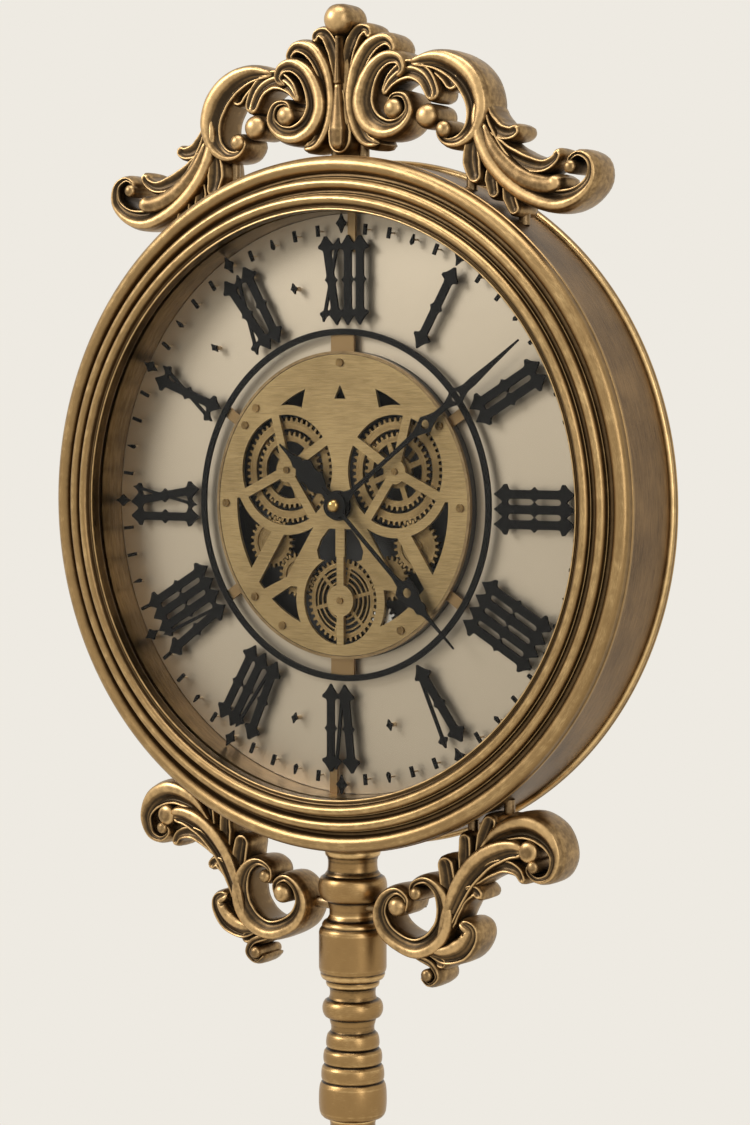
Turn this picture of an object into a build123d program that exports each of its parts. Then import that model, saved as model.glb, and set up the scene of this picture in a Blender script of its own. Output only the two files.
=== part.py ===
from build123d import *
import math
import os

# Floor clock: a round case with a skeleton movement behind domed glass, a scroll crown,
# two scroll brackets and a turned column on a weighted round base.
# Millimetres. +Z is up, the dial faces -Y, and the origin is on the floor on the column's axis.
# Inside the case, "depth" is the distance behind the front edge of the case.

# Overall
HEAD_Z = 1300.0
HEAD_R = 250.0
CASE_DEPTH = 65.0

# Bezel, from the outer edge to the sight opening
BEAD_WIDTHS = (15.0, 11.0, 11.0)
BEAD_BASES = (0.0, 3.5, 7.5)
BEAD_RISE = 6.0
BEAD_DROP = 1.0
LIP_WIDTH = 2.5
LIP_ROUND = 1.6
BEZEL_BACK = 4.0

# Front glass and its seat
GLASS_LAP = 5.0
GLASS_PLAY = 0.5
GLASS_THICK = 3.0
GLASS_RISE = 8.0
REBATE_DEPTH = -2.0
GASKET_THICK = 1.0

# Case shell
SIDE_STEP = 3.0
SHELL_WALL = 3.0
FLANGE_THICK = 1.5
FRONT_FLANGE_REACH = 14.0
REAR_FLANGE_REACH = 15.0
COVER_DEPTH = 60.0
COVER_THICK = 1.5
RIM_OVERHANG = 1.0
RIM_LAP = 2.5
RIM_LIP = 5.5
RIM_STEP = 1.5
RUN_GAP = 0.3

# Access door in the back cover
DOOR_W = 150.0
DOOR_H = 120.0
DOOR_LAP = 6.0
DOOR_THICK = 1.5
HINGE_R = 3.0
HINGE_PIN_R = 1.2
HINGE_FIT = 0.05
HINGE_LEAF = 60.0

# Dial wall, carrier and mirror dial
WALL_THICK = 1.5
WALL_FLANGE = 20.0
LEDGE_REACH = 10.0
MIRROR_DEPTH = 25.0
MIRROR_THICK = 2.5
CARRIER_THICK = 2.0
SEAT_PLAY = 0.4

# Floating dial furniture
FURNITURE_DEPTH = 17.5
FURNITURE_THICK = 2.0
RING_R = 127.5
RING_WIDTH = 4.5
NUMERAL_GAP = 2.5
DIAMOND_GAP = 1.0
STEM_WIDTH = 6.2
HAIR_WIDTH = 2.2
STEM_PITCH = 10.5
STEM_HORN = 7.2
HAIR_HORN = 4.0
HORN_LEVEL = 9.0
DIAMOND_MARGIN = 7.5
DIAMOND_HEIGHT = 14.0
DIAMOND_WIDTH = 9.0
SMALL_DIAMOND = 0.6
SMALL_DIAMOND_ANGLES = (315, 345, 165, 195)
TRACK_DROP = 4.0
TRACK_GAP = 0.5
TICK_LENGTH = 8.0
TICK_WIDTH = 2.4
POST_R = 1.6
TICK_PIN_R = 0.6
TAB_THICK = 2.0
TAB_WIDTHS = {0: 20.0, 57: 8.0, 124: 8.0, 180: 20.0, 236: 8.0, 303: 8.0}
STAY_WIDTH = 6.5
STAY_OFFSET = 8.0
STAY_LAP = 4.0

# Movement case
MOVEMENT_R = 111.0
DRUM_WALL = 1.5
PLATE_DEPTH = 16.5
PLATE_THICK = 2.5
PLATE_EDGE = 109.0
PLATE_BAND = 16.0
BACK_PLATE_DEPTH = 34.0
BACK_PLATE_THICK = 2.0
DRUM_BACK = 46.0
DRUM_FLANGE = 15.0
PILLAR_R = 3.0
PILLAR_CIRCLE_R = 103.0
PILLAR_ANGLES = (0, 56, 90, 135, 149, 210, 228, 270, 304, 313)

# Wheel train: one module, every wheel in the same plane
GEAR_MODULE = 1.5
ADDENDUM = 0.75
DEDENDUM = 1.15
TOOTH_SHARE = 0.40
TIP_SHARE = 0.22
GEAR_DEPTH = 20.0
GEAR_THICK = 3.0
RING_TEETH = 50
INNER_TEETH = 36
LOWER_TEETH = 39
IDLER_TEETH = 24
LINK_TEETH = 20
MOTOR_TEETH = 12
RING_WHEEL_X = 47.5
RING_WHEEL_Z = 25.0
LOWER_WHEEL_Z = -69.0
IDLER_BEARING = 253.0
MOTOR_BEARING = -20.0
STUD_R = 2.5
STUD_FIT = 0.05
STUD_PROUD = 1.2
WHEEL_WINDOW_GAP = 1.9
WINDOW_RIM = 7.0
SPOKE_WIDTH = 7.0
SPIDER_ANGLES = (105, 32, 205, 305)
LOWER_WINDOW_R = 32.0
BRIDGE_WIDTH = 6.0
BRIDGE_HUB_R = 11.5

# Drive
MOTOR_R = 13.0
MOTOR_LENGTH = 14.0
PINION_SHAFT_R = 1.5
QUARTZ_SIZE = 56.0
QUARTZ_DEPTH = 16.0
CELL_R = 7.1
CELL_LENGTH = 50.0
CELL_Z = -17.0
CELL_GAP = 0.4
KNOB_R = 7.0
KNOB_LENGTH = 5.0
KNOB_X = 12.0
KNOB_Z = 12.0

# Hands, front to back
SECOND_DEPTH = 9.0
MINUTE_DEPTH = 11.2
HOUR_DEPTH = 13.4
HAND_THICK = 1.2
SECOND_LENGTH = 142.0
MINUTE_LENGTH = 193.0
HOUR_LENGTH = 68.0
SECOND_ANGLE = 134.0
MINUTE_ANGLE = 52.6
HOUR_ANGLE = 310.0
HOUR_PIPE_R = 4.0
MINUTE_PIPE_R = 2.8
SECOND_ARBOR_R = 1.4
PIPE_FIT = 0.08
CAP_R = 5.0
HOUR_DISC_R = 11.0
MINUTE_DISC_R = 10.3
SECOND_DISC_R = 9.5

# Scroll castings, drawn flat from the case centre
DRAWN_HEAD_R = 250.0
ORNAMENT_FRONT = 17.0
ORNAMENT_DEPTH = 26.0
STEM_PROUD = 4.0
FINIAL_R = 11.5
FINIAL_DRAWN_Z = 348.0
FINIAL_DEPTH = 24.0
FINIAL_SPAN = 14.0
FINIAL_STUD_R = 3.0
FINIAL_STUD_LENGTH = 8.0
CROWN_PEG_R = 4.0
BRACKET_PEG_R = 4.5

# Column and base
ROD_R = 5.0
ROD_PLAY = 0.3
COLUMN_TOP_R = 19.5
COLLAR_MARGIN = 2.73
UPPER_HEIGHT = 151.0
MIDDLE_HEIGHT = 378.0
COLUMN_PEG_DRAWN = 293.0
COLUMN_PEG_BITE = 4.0
BASE_R = 165.0
BASE_HEIGHT = 62.0
PAD_R = 12.0
PAD_THICK = 4.0
PAD_CIRCLE_R = 145.0
PAD_COUNT = 4
WEIGHT_R = 128.0
WEIGHT_THICK = 16.0
WEIGHT_PLAY = 3.0
WEIGHT_LIFT = 1.0
NUT_ACROSS = 17.0
NUT_THICK = 8.0
WASHER_R = 14.0
WASHER_THICK = 2.0

# Screws of the case
SCREW_R = 2.0
SCREW_HEAD_R = 3.6
SCREW_HEAD_THICK = 2.0
SCREW_LENGTH = 6.0
SCREW_COUNT = 8

# Worked out from the above
SIGHT_R = HEAD_R - sum(BEAD_WIDTHS) - LIP_WIDTH
GLASS_R = SIGHT_R + GLASS_LAP
REBATE_R = GLASS_R + GLASS_PLAY
GLASS_FRONT = REBATE_DEPTH + GASKET_THICK
GLASS_BACK = GLASS_FRONT + GLASS_THICK
SIDE_R = HEAD_R - SIDE_STEP
SHELL_INNER_R = SIDE_R - SHELL_WALL
RIM_R = HEAD_R + RIM_OVERHANG
COVER_R = SHELL_INNER_R - RIM_LIP
WALL_INNER_R = SIGHT_R
WALL_OUTER_R = SIGHT_R + WALL_THICK
CARRIER_DEPTH = MIRROR_DEPTH + MIRROR_THICK
CARRIER_BACK = CARRIER_DEPTH + CARRIER_THICK
MOVEMENT_HOLE_R = MOVEMENT_R + SEAT_PLAY
FURNITURE_BACK = FURNITURE_DEPTH + FURNITURE_THICK
DIAMOND_R = SIGHT_R - DIAMOND_MARGIN
TRACK_R = DIAMOND_R - TRACK_DROP
NUMERAL_BASE_R = RING_R + NUMERAL_GAP
NUMERAL_HEIGHT = DIAMOND_R - DIAMOND_HEIGHT / 2 - DIAMOND_GAP - NUMERAL_BASE_R
NUMERAL_MIDDLE_R = NUMERAL_BASE_R + NUMERAL_HEIGHT / 2
DRUM_INNER_R = MOVEMENT_R - DRUM_WALL
GEAR_BACK = GEAR_DEPTH + GEAR_THICK
PLATE_BACK = PLATE_DEPTH + PLATE_THICK
FRONT_SCREW_R = SIDE_R - FRONT_FLANGE_REACH + SCREW_HEAD_R + 1.0
WALL_SCREW_R = WALL_OUTER_R + WALL_FLANGE / 2
COVER_SCREW_R = COVER_R - SCREW_HEAD_R - 1.5
DRUM_SCREW_R = MOVEMENT_R + DRUM_FLANGE / 2
AXIS_DEPTH = CASE_DEPTH / 2
ORNAMENT_BACK = ORNAMENT_FRONT + ORNAMENT_DEPTH
ORNAMENT_AXIS = (ORNAMENT_FRONT + ORNAMENT_BACK) / 2
CASTING_SCALE = HEAD_R / DRAWN_HEAD_R
FINIAL_Z = FINIAL_DRAWN_Z * CASTING_SCALE
COLUMN_PEG_DROP = COLUMN_PEG_DRAWN * CASTING_SCALE
COLLAR_TOP = HEAD_Z - math.sqrt(SIDE_R ** 2 - COLUMN_TOP_R ** 2)
COLLAR_HEIGHT = COLUMN_PEG_DROP - (HEAD_Z - COLLAR_TOP) + BRACKET_PEG_R + COLLAR_MARGIN
UPPER_JOINT_Z = COLLAR_TOP - COLLAR_HEIGHT
MIDDLE_JOINT_Z = UPPER_JOINT_Z - UPPER_HEIGHT
LOWER_JOINT_Z = MIDDLE_JOINT_Z - MIDDLE_HEIGHT
WEIGHT_BOTTOM = PAD_THICK + WEIGHT_LIFT
WEIGHT_TOP = WEIGHT_BOTTOM + WEIGHT_THICK
HEAD = Pos(0, -AXIS_DEPTH, HEAD_Z)
FACING = Plane(origin=(0, 0, 0), x_dir=(1, 0, 0), z_dir=(0, -1, 0))


def outline(start, *steps):
    """Closed face through points; a step of two points is an arc by its middle and its end."""
    edges = []
    here = start
    for step in steps:
        if isinstance(step[0], tuple):
            edges.append(ThreePointArc(here, step[0], step[1]))
            here = step[1]
        else:
            edges.append(Line(here, step))
            here = step
    edges.append(Line(here, start))
    return make_face(edges)


def turned(start, *steps):
    """Ring or disc about the dial axis, from a section of (radius, depth) points."""
    return HEAD * revolve(outline(start, *steps), Axis.Y)


def tube(inner, outer, front, back):
    """Plain ring about the dial axis between two depths."""
    return turned((inner, front), (outer, front), (outer, back), (inner, back))


def slab(flat, front, thick):
    """A flat drawing (x, z from the case centre) given thickness behind its front depth."""
    return HEAD * Pos(0, front, 0) * extrude(FACING * flat, thick, dir=(0, 1, 0))


def rod(x, z, radius, front, back):
    """Round bar along the depth."""
    return slab(Pos(x, z) * Circle(radius), front, back - front)


def polar(radius, degrees):
    """Point of the dial at a clockwise angle from twelve o'clock."""
    turn = math.radians(degrees)
    return radius * math.sin(turn), radius * math.cos(turn)


def ring_of(count, radius, start=0.0):
    """Evenly spaced points on a circle of the dial."""
    return [polar(radius, start + 360.0 * i / count) for i in range(count)]


def pan_screw(x, z, seat, length):
    """Screw driven from behind: its head on the seat, its shank running forward."""
    head = rod(x, z, SCREW_HEAD_R, seat, seat + SCREW_HEAD_THICK)
    return head + rod(x, z, SCREW_R, seat - length, seat)


def screw_holes(points, front, back):
    """Holes for shanks, cut from one depth to another."""
    return [rod(x, z, SCREW_R, front, back) for x, z in points]


def group(solids):
    """Separate solids that share one node."""
    return Compound(children=list(solids))


# Places of the case's screws
FRONT_SCREWS = ring_of(SCREW_COUNT, FRONT_SCREW_R, 22.5)
WALL_SCREWS = ring_of(SCREW_COUNT, WALL_SCREW_R, 22.5)
COVER_SCREWS = ring_of(SCREW_COUNT, COVER_SCREW_R, 22.5)
DRUM_SCREWS = ring_of(SCREW_COUNT, DRUM_SCREW_R, 22.5)


def bezel_ring():
    steps = []
    radius = HEAD_R
    for width, base in zip(BEAD_WIDTHS, BEAD_BASES):
        steps.append((radius, -base))
        crown = (radius - width / 2, -base - BEAD_RISE)
        radius -= width
        steps.append((crown, (radius, -base - BEAD_DROP)))
    lip = -BEAD_BASES[-1] - BEAD_DROP
    steps.append(((radius - LIP_WIDTH / 2, lip - LIP_ROUND), (SIGHT_R, lip)))
    steps += [(SIGHT_R, REBATE_DEPTH), (REBATE_R, REBATE_DEPTH), (REBATE_R, BEZEL_BACK)]
    ring = turned((HEAD_R, BEZEL_BACK), *steps)
    front = BEZEL_BACK + FLANGE_THICK - SCREW_LENGTH
    return ring - screw_holes(FRONT_SCREWS + WALL_SCREWS, front, BEZEL_BACK)


def glass_gasket():
    return tube(SIGHT_R + GLASS_PLAY, GLASS_R, REBATE_DEPTH, GLASS_FRONT)


def front_glass():
    sphere = (SIGHT_R ** 2 + GLASS_RISE ** 2) / (2 * GLASS_RISE)
    middle = SIGHT_R / 2
    sag = GLASS_RISE - sphere + math.sqrt(sphere ** 2 - middle ** 2)
    return turned(
        (0, GLASS_FRONT - GLASS_RISE),
        ((middle, GLASS_FRONT - sag), (SIGHT_R, GLASS_FRONT)),
        (GLASS_R, GLASS_FRONT),
        (GLASS_R, GLASS_BACK),
        (SIGHT_R, GLASS_BACK),
        ((middle, GLASS_BACK - sag), (0, GLASS_BACK - GLASS_RISE)),
    )


def case_drum():
    flange_r = SIDE_R - FRONT_FLANGE_REACH
    rear_r = SHELL_INNER_R - REAR_FLANGE_REACH
    rim_front = COVER_DEPTH - RIM_LAP
    shell = turned(
        (flange_r, BEZEL_BACK),
        (SIDE_R, BEZEL_BACK),
        (SIDE_R, rim_front),
        (SIDE_R - RIM_STEP, rim_front),
        (SIDE_R - RIM_STEP, COVER_DEPTH),
        (rear_r, COVER_DEPTH),
        (rear_r, COVER_DEPTH - FLANGE_THICK),
        (SHELL_INNER_R, COVER_DEPTH - FLANGE_THICK),
        (SHELL_INNER_R, BEZEL_BACK + FLANGE_THICK),
        (flange_r, BEZEL_BACK + FLANGE_THICK),
    )
    shell -= screw_holes(FRONT_SCREWS, BEZEL_BACK, BEZEL_BACK + FLANGE_THICK)
    shell -= screw_holes(COVER_SCREWS, COVER_DEPTH - FLANGE_THICK, COVER_DEPTH)
    shell -= Pos(0, 0, HEAD_Z - SIDE_R) * Cylinder(ROD_R + ROD_PLAY, 4 * SHELL_WALL)
    return shell - shell_pegs(CROWN_PEGS + BRACKET_PEGS)


def rear_rim():
    front = COVER_DEPTH - RIM_LAP
    bore = SIDE_R - RIM_STEP
    middle = (front + CASE_DEPTH) / 2
    return turned(
        (bore, front),
        (RIM_R - RIM_OVERHANG, front),
        ((RIM_R, middle), (RIM_R - RIM_OVERHANG, CASE_DEPTH)),
        (COVER_R, CASE_DEPTH),
        (COVER_R, COVER_DEPTH),
        (bore, COVER_DEPTH),
    )


def back_cover():
    cover = slab(Circle(COVER_R - RUN_GAP), COVER_DEPTH, COVER_THICK)
    opening = Rectangle(DOOR_W - 2 * DOOR_LAP, DOOR_H - 2 * DOOR_LAP)
    cover -= slab(opening, COVER_DEPTH, COVER_THICK)
    cover -= screw_holes(COVER_SCREWS, COVER_DEPTH, COVER_DEPTH + COVER_THICK)
    return cover + hinge_knuckles((-1, 1))


HINGE_X = -DOOR_W / 2 - HINGE_R - 1.0
HINGE_DEPTH = COVER_DEPTH + COVER_THICK + HINGE_R + RUN_GAP
KNUCKLE_COUNT = 3
KNUCKLE_LENGTH = HINGE_LEAF / KNUCKLE_COUNT


def hinge_knuckles(places):
    """Knuckles of the door hinge, each with a lug down to the sheet it belongs to."""
    sheet_back = COVER_DEPTH + COVER_THICK
    knuckles = []
    for place in places:
        middle = place * KNUCKLE_LENGTH
        height = KNUCKLE_LENGTH - RUN_GAP
        barrel = HEAD * Pos(HINGE_X, HINGE_DEPTH, middle) * Cylinder(HINGE_R, height)
        bore = HEAD * Pos(HINGE_X, HINGE_DEPTH, middle) * Cylinder(HINGE_PIN_R + HINGE_FIT, height)
        lug = HEAD * Pos(HINGE_X, (sheet_back + HINGE_DEPTH) / 2, middle) * Box(
            HINGE_R, HINGE_DEPTH - sheet_back, height)
        knuckles.append(barrel + lug - bore)
    return knuckles


def access_door():
    front = COVER_DEPTH + COVER_THICK + RUN_GAP
    panel = slab(RectangleRounded(DOOR_W, DOOR_H, DOOR_LAP), front, DOOR_THICK)
    middle = Pos(HINGE_X, HINGE_DEPTH, 0)
    barrel = HEAD * middle * Cylinder(HINGE_R, KNUCKLE_LENGTH - RUN_GAP)
    bore = HEAD * middle * Cylinder(HINGE_PIN_R + HINGE_FIT, KNUCKLE_LENGTH)
    reach = HINGE_R + 1.0 + DOOR_LAP
    tongue = HEAD * Pos(HINGE_X + reach / 2, front + DOOR_THICK / 2, 0) * Box(
        reach, DOOR_THICK, KNUCKLE_LENGTH - RUN_GAP)
    pull = HEAD * Pos(DOOR_W / 2 - 12, front + DOOR_THICK + 1, 0) * Box(5, 2, 24)
    return panel + tongue + barrel - bore + pull


def hinge_pin():
    return HEAD * Pos(HINGE_X, HINGE_DEPTH, 0) * Cylinder(HINGE_PIN_R, HINGE_LEAF)


def case_screws():
    bezel_seat = BEZEL_BACK + FLANGE_THICK
    cover_seat = COVER_DEPTH + COVER_THICK
    screws = [pan_screw(x, z, bezel_seat, SCREW_LENGTH) for x, z in FRONT_SCREWS + WALL_SCREWS]
    return group(screws + [pan_screw(x, z, cover_seat, SCREW_LENGTH) for x, z in COVER_SCREWS])


def drum_screws():
    seat = CARRIER_BACK + FLANGE_THICK
    return group(pan_screw(x, z, seat, seat - CARRIER_DEPTH) for x, z in DRUM_SCREWS)


def dial_wall():
    wall = turned(
        (WALL_INNER_R, GLASS_BACK),
        (WALL_OUTER_R, GLASS_BACK),
        (WALL_OUTER_R, BEZEL_BACK),
        (WALL_OUTER_R + WALL_FLANGE, BEZEL_BACK),
        (WALL_OUTER_R + WALL_FLANGE, BEZEL_BACK + FLANGE_THICK),
        (WALL_OUTER_R, BEZEL_BACK + FLANGE_THICK),
        (WALL_OUTER_R, CARRIER_BACK + FLANGE_THICK),
        (WALL_INNER_R - LEDGE_REACH, CARRIER_BACK + FLANGE_THICK),
        (WALL_INNER_R - LEDGE_REACH, CARRIER_BACK),
        (WALL_INNER_R, CARRIER_BACK),
    )
    return wall - screw_holes(WALL_SCREWS, BEZEL_BACK, BEZEL_BACK + FLANGE_THICK)


def dial_carrier():
    plate = tube(MOVEMENT_HOLE_R, WALL_INNER_R - SEAT_PLAY, CARRIER_DEPTH, CARRIER_BACK)
    return plate - screw_holes(DRUM_SCREWS, CARRIER_DEPTH, CARRIER_BACK)


def mirror_dial():
    return tube(MOVEMENT_HOLE_R, WALL_INNER_R - SEAT_PLAY, MIRROR_DEPTH, CARRIER_DEPTH)


# A stem's half outline near its tip and at its middle, as (beyond the tip or middle, half width)
STEM_END = (
    (13.0, STEM_WIDTH / 2), (11.4, STEM_WIDTH / 2 + 0.6), (HORN_LEVEL + 0.9, STEM_HORN),
    (HORN_LEVEL - 0.9, STEM_HORN - 0.2), (6.2, 4.6), (3.0, 2.1), (0.0, 0.2))
HAIR_END = (
    (12.0, HAIR_WIDTH / 2), (10.5, HAIR_WIDTH / 2 + 0.3), (HORN_LEVEL, HAIR_HORN),
    (HORN_LEVEL - 1.6, HAIR_HORN - 0.4), (5.6, 1.5), (2.4, 0.2))
STEM_CUSP = ((-2.8, STEM_WIDTH / 2), (-1.5, 3.8), (0.0, 5.2), (1.5, 3.8), (2.8, STEM_WIDTH / 2))


def stroke(low, high, end, cusp=()):
    """One stem of a numeral, leaning from its foot to its head, spear-tipped at both ends."""
    top = NUMERAL_HEIGHT
    right = [(y, half) for y, half in reversed(end)]
    right += [(top / 2 + y, half) for y, half in cusp]
    right += [(top - y, half) for y, half in end]
    lean = (high - low) / top
    points = [(low + lean * y + half, y) for y, half in right]
    points += [(low + lean * y - half, y) for y, half in reversed(right)]
    return Polygon(*points, align=None)


# Each letter's step to the next one, and its strokes: foot, head, and whether it is a hairline
LETTERS = {
    "I": (STEM_PITCH, ((0.0, 0.0, False),)),
    "V": (19.0, ((7.0, 0.0, False), (8.0, 14.6, True))),
    "X": (20.0, ((10.6, 0.0, False), (-2.0, 12.3, True))),
}


def strokes_of(text):
    """Strokes of a whole numeral, centred on x = 0."""
    strokes = []
    x = 0.0
    for letter in text:
        step, drawn = LETTERS[letter]
        strokes += [(x + low, x + high, hair) for low, high, hair in drawn]
        x += step
    ends = [place for low, high, hair in strokes for place in (low, high)]
    middle = (min(ends) + max(ends)) / 2
    return [(low - middle, high - middle, hair) for low, high, hair in strokes]


def numeral(text):
    """Roman numeral standing on y = 0; its letters join at their horns."""
    drawing = Sketch()
    for low, high, hair in strokes_of(text):
        drawing += stroke(low, high, HAIR_END) if hair else stroke(low, high, STEM_END, STEM_CUSP)
    return drawing


NUMERALS = ("XII", "I", "II", "III", "IIII", "V", "VI", "VII", "VIII", "IX", "X", "XI")


def on_dial(flat, radius, degrees):
    """Turn a drawing clockwise to its place on the dial."""
    return Rot(0, 0, -degrees) * Pos(0, radius) * flat


def hour_numerals():
    inside = Circle(TRACK_R - TICK_LENGTH / 2 - TRACK_GAP)
    solids = []
    for hour, text in enumerate(NUMERALS):
        flat = on_dial(numeral(text), NUMERAL_BASE_R, 30 * hour) & inside
        solids.append(slab(flat, FURNITURE_DEPTH, FURNITURE_THICK))
    return group(solids)


def star(share=1.0):
    """Four-pointed diamond with hollow sides."""
    w, h = share * DIAMOND_WIDTH / 2, share * DIAMOND_HEIGHT / 2
    return Polygon(
        (0, -h), (0.42 * w, -0.4 * h), (w, 0), (0.42 * w, 0.4 * h),
        (0, h), (-0.42 * w, 0.4 * h), (-w, 0), (-0.42 * w, -0.4 * h), align=None)


def hour_diamonds():
    places = [(star(), DIAMOND_R, 30 * hour) for hour in range(12)]
    places += [(star(SMALL_DIAMOND), NUMERAL_MIDDLE_R, angle) for angle in SMALL_DIAMOND_ANGLES]
    return group(
        slab(on_dial(flat, radius, angle), FURNITURE_DEPTH, FURNITURE_THICK)
        for flat, radius, angle in places)


TICK_MINUTES = [minute for minute in range(60) if minute % 5]


def tick(minute):
    """Bar of the minute track; one in each group is a spear."""
    if minute % 5 != (3 if minute < 30 else 2):
        return Rectangle(TICK_WIDTH, TICK_LENGTH)
    w, h = TICK_WIDTH / 2, TICK_LENGTH / 2
    return Polygon(
        (0, -h), (1.3 * w, -0.55 * h), (w, 0), (0.2 * w, h),
        (-0.2 * w, h), (-w, 0), (-1.3 * w, -0.55 * h), align=None)


def minute_marks():
    return group(
        slab(on_dial(tick(minute), TRACK_R, 6 * minute), FURNITURE_DEPTH, FURNITURE_THICK)
        for minute in TICK_MINUTES)


def chapter_ring():
    return tube(RING_R - RING_WIDTH, RING_R, FURNITURE_DEPTH, FURNITURE_BACK)


def numeral_feet(text, degrees):
    """Points of the dial behind the horns of a numeral's heavy stems."""
    places = []
    turn = math.radians(degrees)
    for low, high, hair in strokes_of(text):
        for y in (HORN_LEVEL, NUMERAL_HEIGHT - HORN_LEVEL):
            x = low + (high - low) * y / NUMERAL_HEIGHT
            r = NUMERAL_BASE_R + y
            if not hair:
                places.append((r * math.sin(turn) + x * math.cos(turn),
                               r * math.cos(turn) - x * math.sin(turn)))
    return places


def ring_tab(degrees, width):
    """Tab from the movement drum to the back of the chapter ring."""
    low, high = MOVEMENT_R / 2, RING_R - RING_WIDTH / 2
    flat = Rectangle(width, high - low)
    shape = on_dial(flat, (low + high) / 2, degrees) - Circle(MOVEMENT_R)
    return slab(shape, FURNITURE_BACK, TAB_THICK)


def wall_stay(degrees):
    """Stay from the dial wall to the back of a numeral's heads."""
    low, high = NUMERAL_BASE_R + NUMERAL_HEIGHT - HORN_LEVEL - STAY_LAP, SIGHT_R + DIAMOND_MARGIN
    flat = Pos(STAY_OFFSET, 0) * Rectangle(STAY_WIDTH, high - low)
    shape = on_dial(flat, (low + high) / 2, degrees) & Circle(WALL_INNER_R)
    return slab(shape, FURNITURE_BACK, TAB_THICK)


def dial_posts():
    """Posts, tabs and stays that hold the floating pieces off the mirror dial."""
    places = ring_of(12, DIAMOND_R)
    places += [polar(NUMERAL_MIDDLE_R, angle) for angle in SMALL_DIAMOND_ANGLES]
    for hour, text in enumerate(NUMERALS):
        places += numeral_feet(text, 30 * hour)
    stays = [wall_stay(degrees) for degrees in (0, 180)]
    posts = []
    for x, z in places:
        post = rod(x, z, POST_R, FURNITURE_BACK, MIRROR_DEPTH)
        for stay in stays:
            post -= stay
        posts.append(post)
    posts += [ring_tab(degrees, width) for degrees, width in TAB_WIDTHS.items()]
    pins = [polar(TRACK_R, 6 * minute) for minute in TICK_MINUTES]
    posts += [rod(x, z, TICK_PIN_R, FURNITURE_BACK, MIRROR_DEPTH) for x, z in pins]
    return group(posts + stays)


def pitch_r(teeth):
    return GEAR_MODULE * teeth / 2


def meet(first, first_reach, second, second_reach):
    """Centre that lies at two given distances from two other centres, on the outer side."""
    dx, dz = second[0] - first[0], second[1] - first[1]
    apart = math.hypot(dx, dz)
    along = (first_reach ** 2 - second_reach ** 2 + apart ** 2) / (2 * apart)
    aside = math.sqrt(first_reach ** 2 - along ** 2)
    x = first[0] + (along * dx + aside * dz) / apart
    z = first[1] + (along * dz - aside * dx) / apart
    return x, z


# Wheel centres of the left half; the right half mirrors them
LEFT_RING = (-RING_WHEEL_X, RING_WHEEL_Z)
LOWER = (0.0, LOWER_WHEEL_Z)
IDLER_REACH = pitch_r(RING_TEETH) + pitch_r(IDLER_TEETH)
LEFT_IDLER = (
    LEFT_RING[0] + IDLER_REACH * math.cos(math.radians(IDLER_BEARING)),
    LEFT_RING[1] + IDLER_REACH * math.sin(math.radians(IDLER_BEARING)))
LEFT_LINK = meet(
    LEFT_IDLER, pitch_r(IDLER_TEETH) + pitch_r(LINK_TEETH),
    LOWER, pitch_r(LOWER_TEETH) + pitch_r(LINK_TEETH))
MOTOR_REACH = pitch_r(LOWER_TEETH) + pitch_r(MOTOR_TEETH)
MOTOR = (
    LOWER[0] + MOTOR_REACH * math.cos(math.radians(MOTOR_BEARING)),
    LOWER[1] + MOTOR_REACH * math.sin(math.radians(MOTOR_BEARING)))
RIGHT_RING = (-LEFT_RING[0], LEFT_RING[1])
RIGHT_IDLER = (-LEFT_IDLER[0], LEFT_IDLER[1])
RIGHT_LINK = (-LEFT_LINK[0], LEFT_LINK[1])


def meshed(angle, centre, teeth, other, other_teeth):
    """Angle of a tooth of the other wheel, so that it meshes with this wheel's tooth angle."""
    bearing = math.atan2(other[1] - centre[1], other[0] - centre[0])
    place = teeth * (bearing - angle) / (2 * math.pi)
    return bearing + math.pi - 2 * math.pi * (0.5 - place) / other_teeth


LOWER_PHASE = math.pi / 2
LEFT_LINK_PHASE = meshed(LOWER_PHASE, LOWER, LOWER_TEETH, LEFT_LINK, LINK_TEETH)
LEFT_IDLER_PHASE = meshed(LEFT_LINK_PHASE, LEFT_LINK, LINK_TEETH, LEFT_IDLER, IDLER_TEETH)
LEFT_RING_PHASE = meshed(LEFT_IDLER_PHASE, LEFT_IDLER, IDLER_TEETH, LEFT_RING, RING_TEETH)
RIGHT_LINK_PHASE = meshed(LOWER_PHASE, LOWER, LOWER_TEETH, RIGHT_LINK, LINK_TEETH)
RIGHT_IDLER_PHASE = meshed(RIGHT_LINK_PHASE, RIGHT_LINK, LINK_TEETH, RIGHT_IDLER, IDLER_TEETH)
RIGHT_RING_PHASE = meshed(RIGHT_IDLER_PHASE, RIGHT_IDLER, IDLER_TEETH, RIGHT_RING, RING_TEETH)
MOTOR_PHASE = meshed(LOWER_PHASE, LOWER, LOWER_TEETH, MOTOR, MOTOR_TEETH)


def toothed(teeth, phase):
    """Flat outline of a wheel centred on the origin, a tooth at the given angle."""
    root = pitch_r(teeth) - DEDENDUM * GEAR_MODULE
    tip = pitch_r(teeth) + ADDENDUM * GEAR_MODULE
    pitch = 2 * math.pi / teeth
    corners = ((root, -TOOTH_SHARE / 2 - 0.05), (pitch_r(teeth), -TOOTH_SHARE / 2),
               (tip, -TIP_SHARE / 2), (tip, TIP_SHARE / 2),
               (pitch_r(teeth), TOOTH_SHARE / 2), (root, TOOTH_SHARE / 2 + 0.05))
    points = []
    for tooth in range(teeth):
        for radius, share in corners:
            angle = phase + pitch * (tooth + share)
            points.append((radius * math.cos(angle), radius * math.sin(angle)))
    return Polygon(*points, align=None)


def spokes(count, inner, outer, width, start):
    """Flat radial bars between two radii."""
    bars = []
    for i in range(count):
        bar = Pos((inner + outer) / 2, 0) * Rectangle(outer - inner, width)
        bars.append(Rot(0, 0, start + 360 * i / count) * bar)
    return bars


def placed(flat, centre, front, thick):
    return slab(Pos(*centre) * flat, front, thick)


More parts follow.
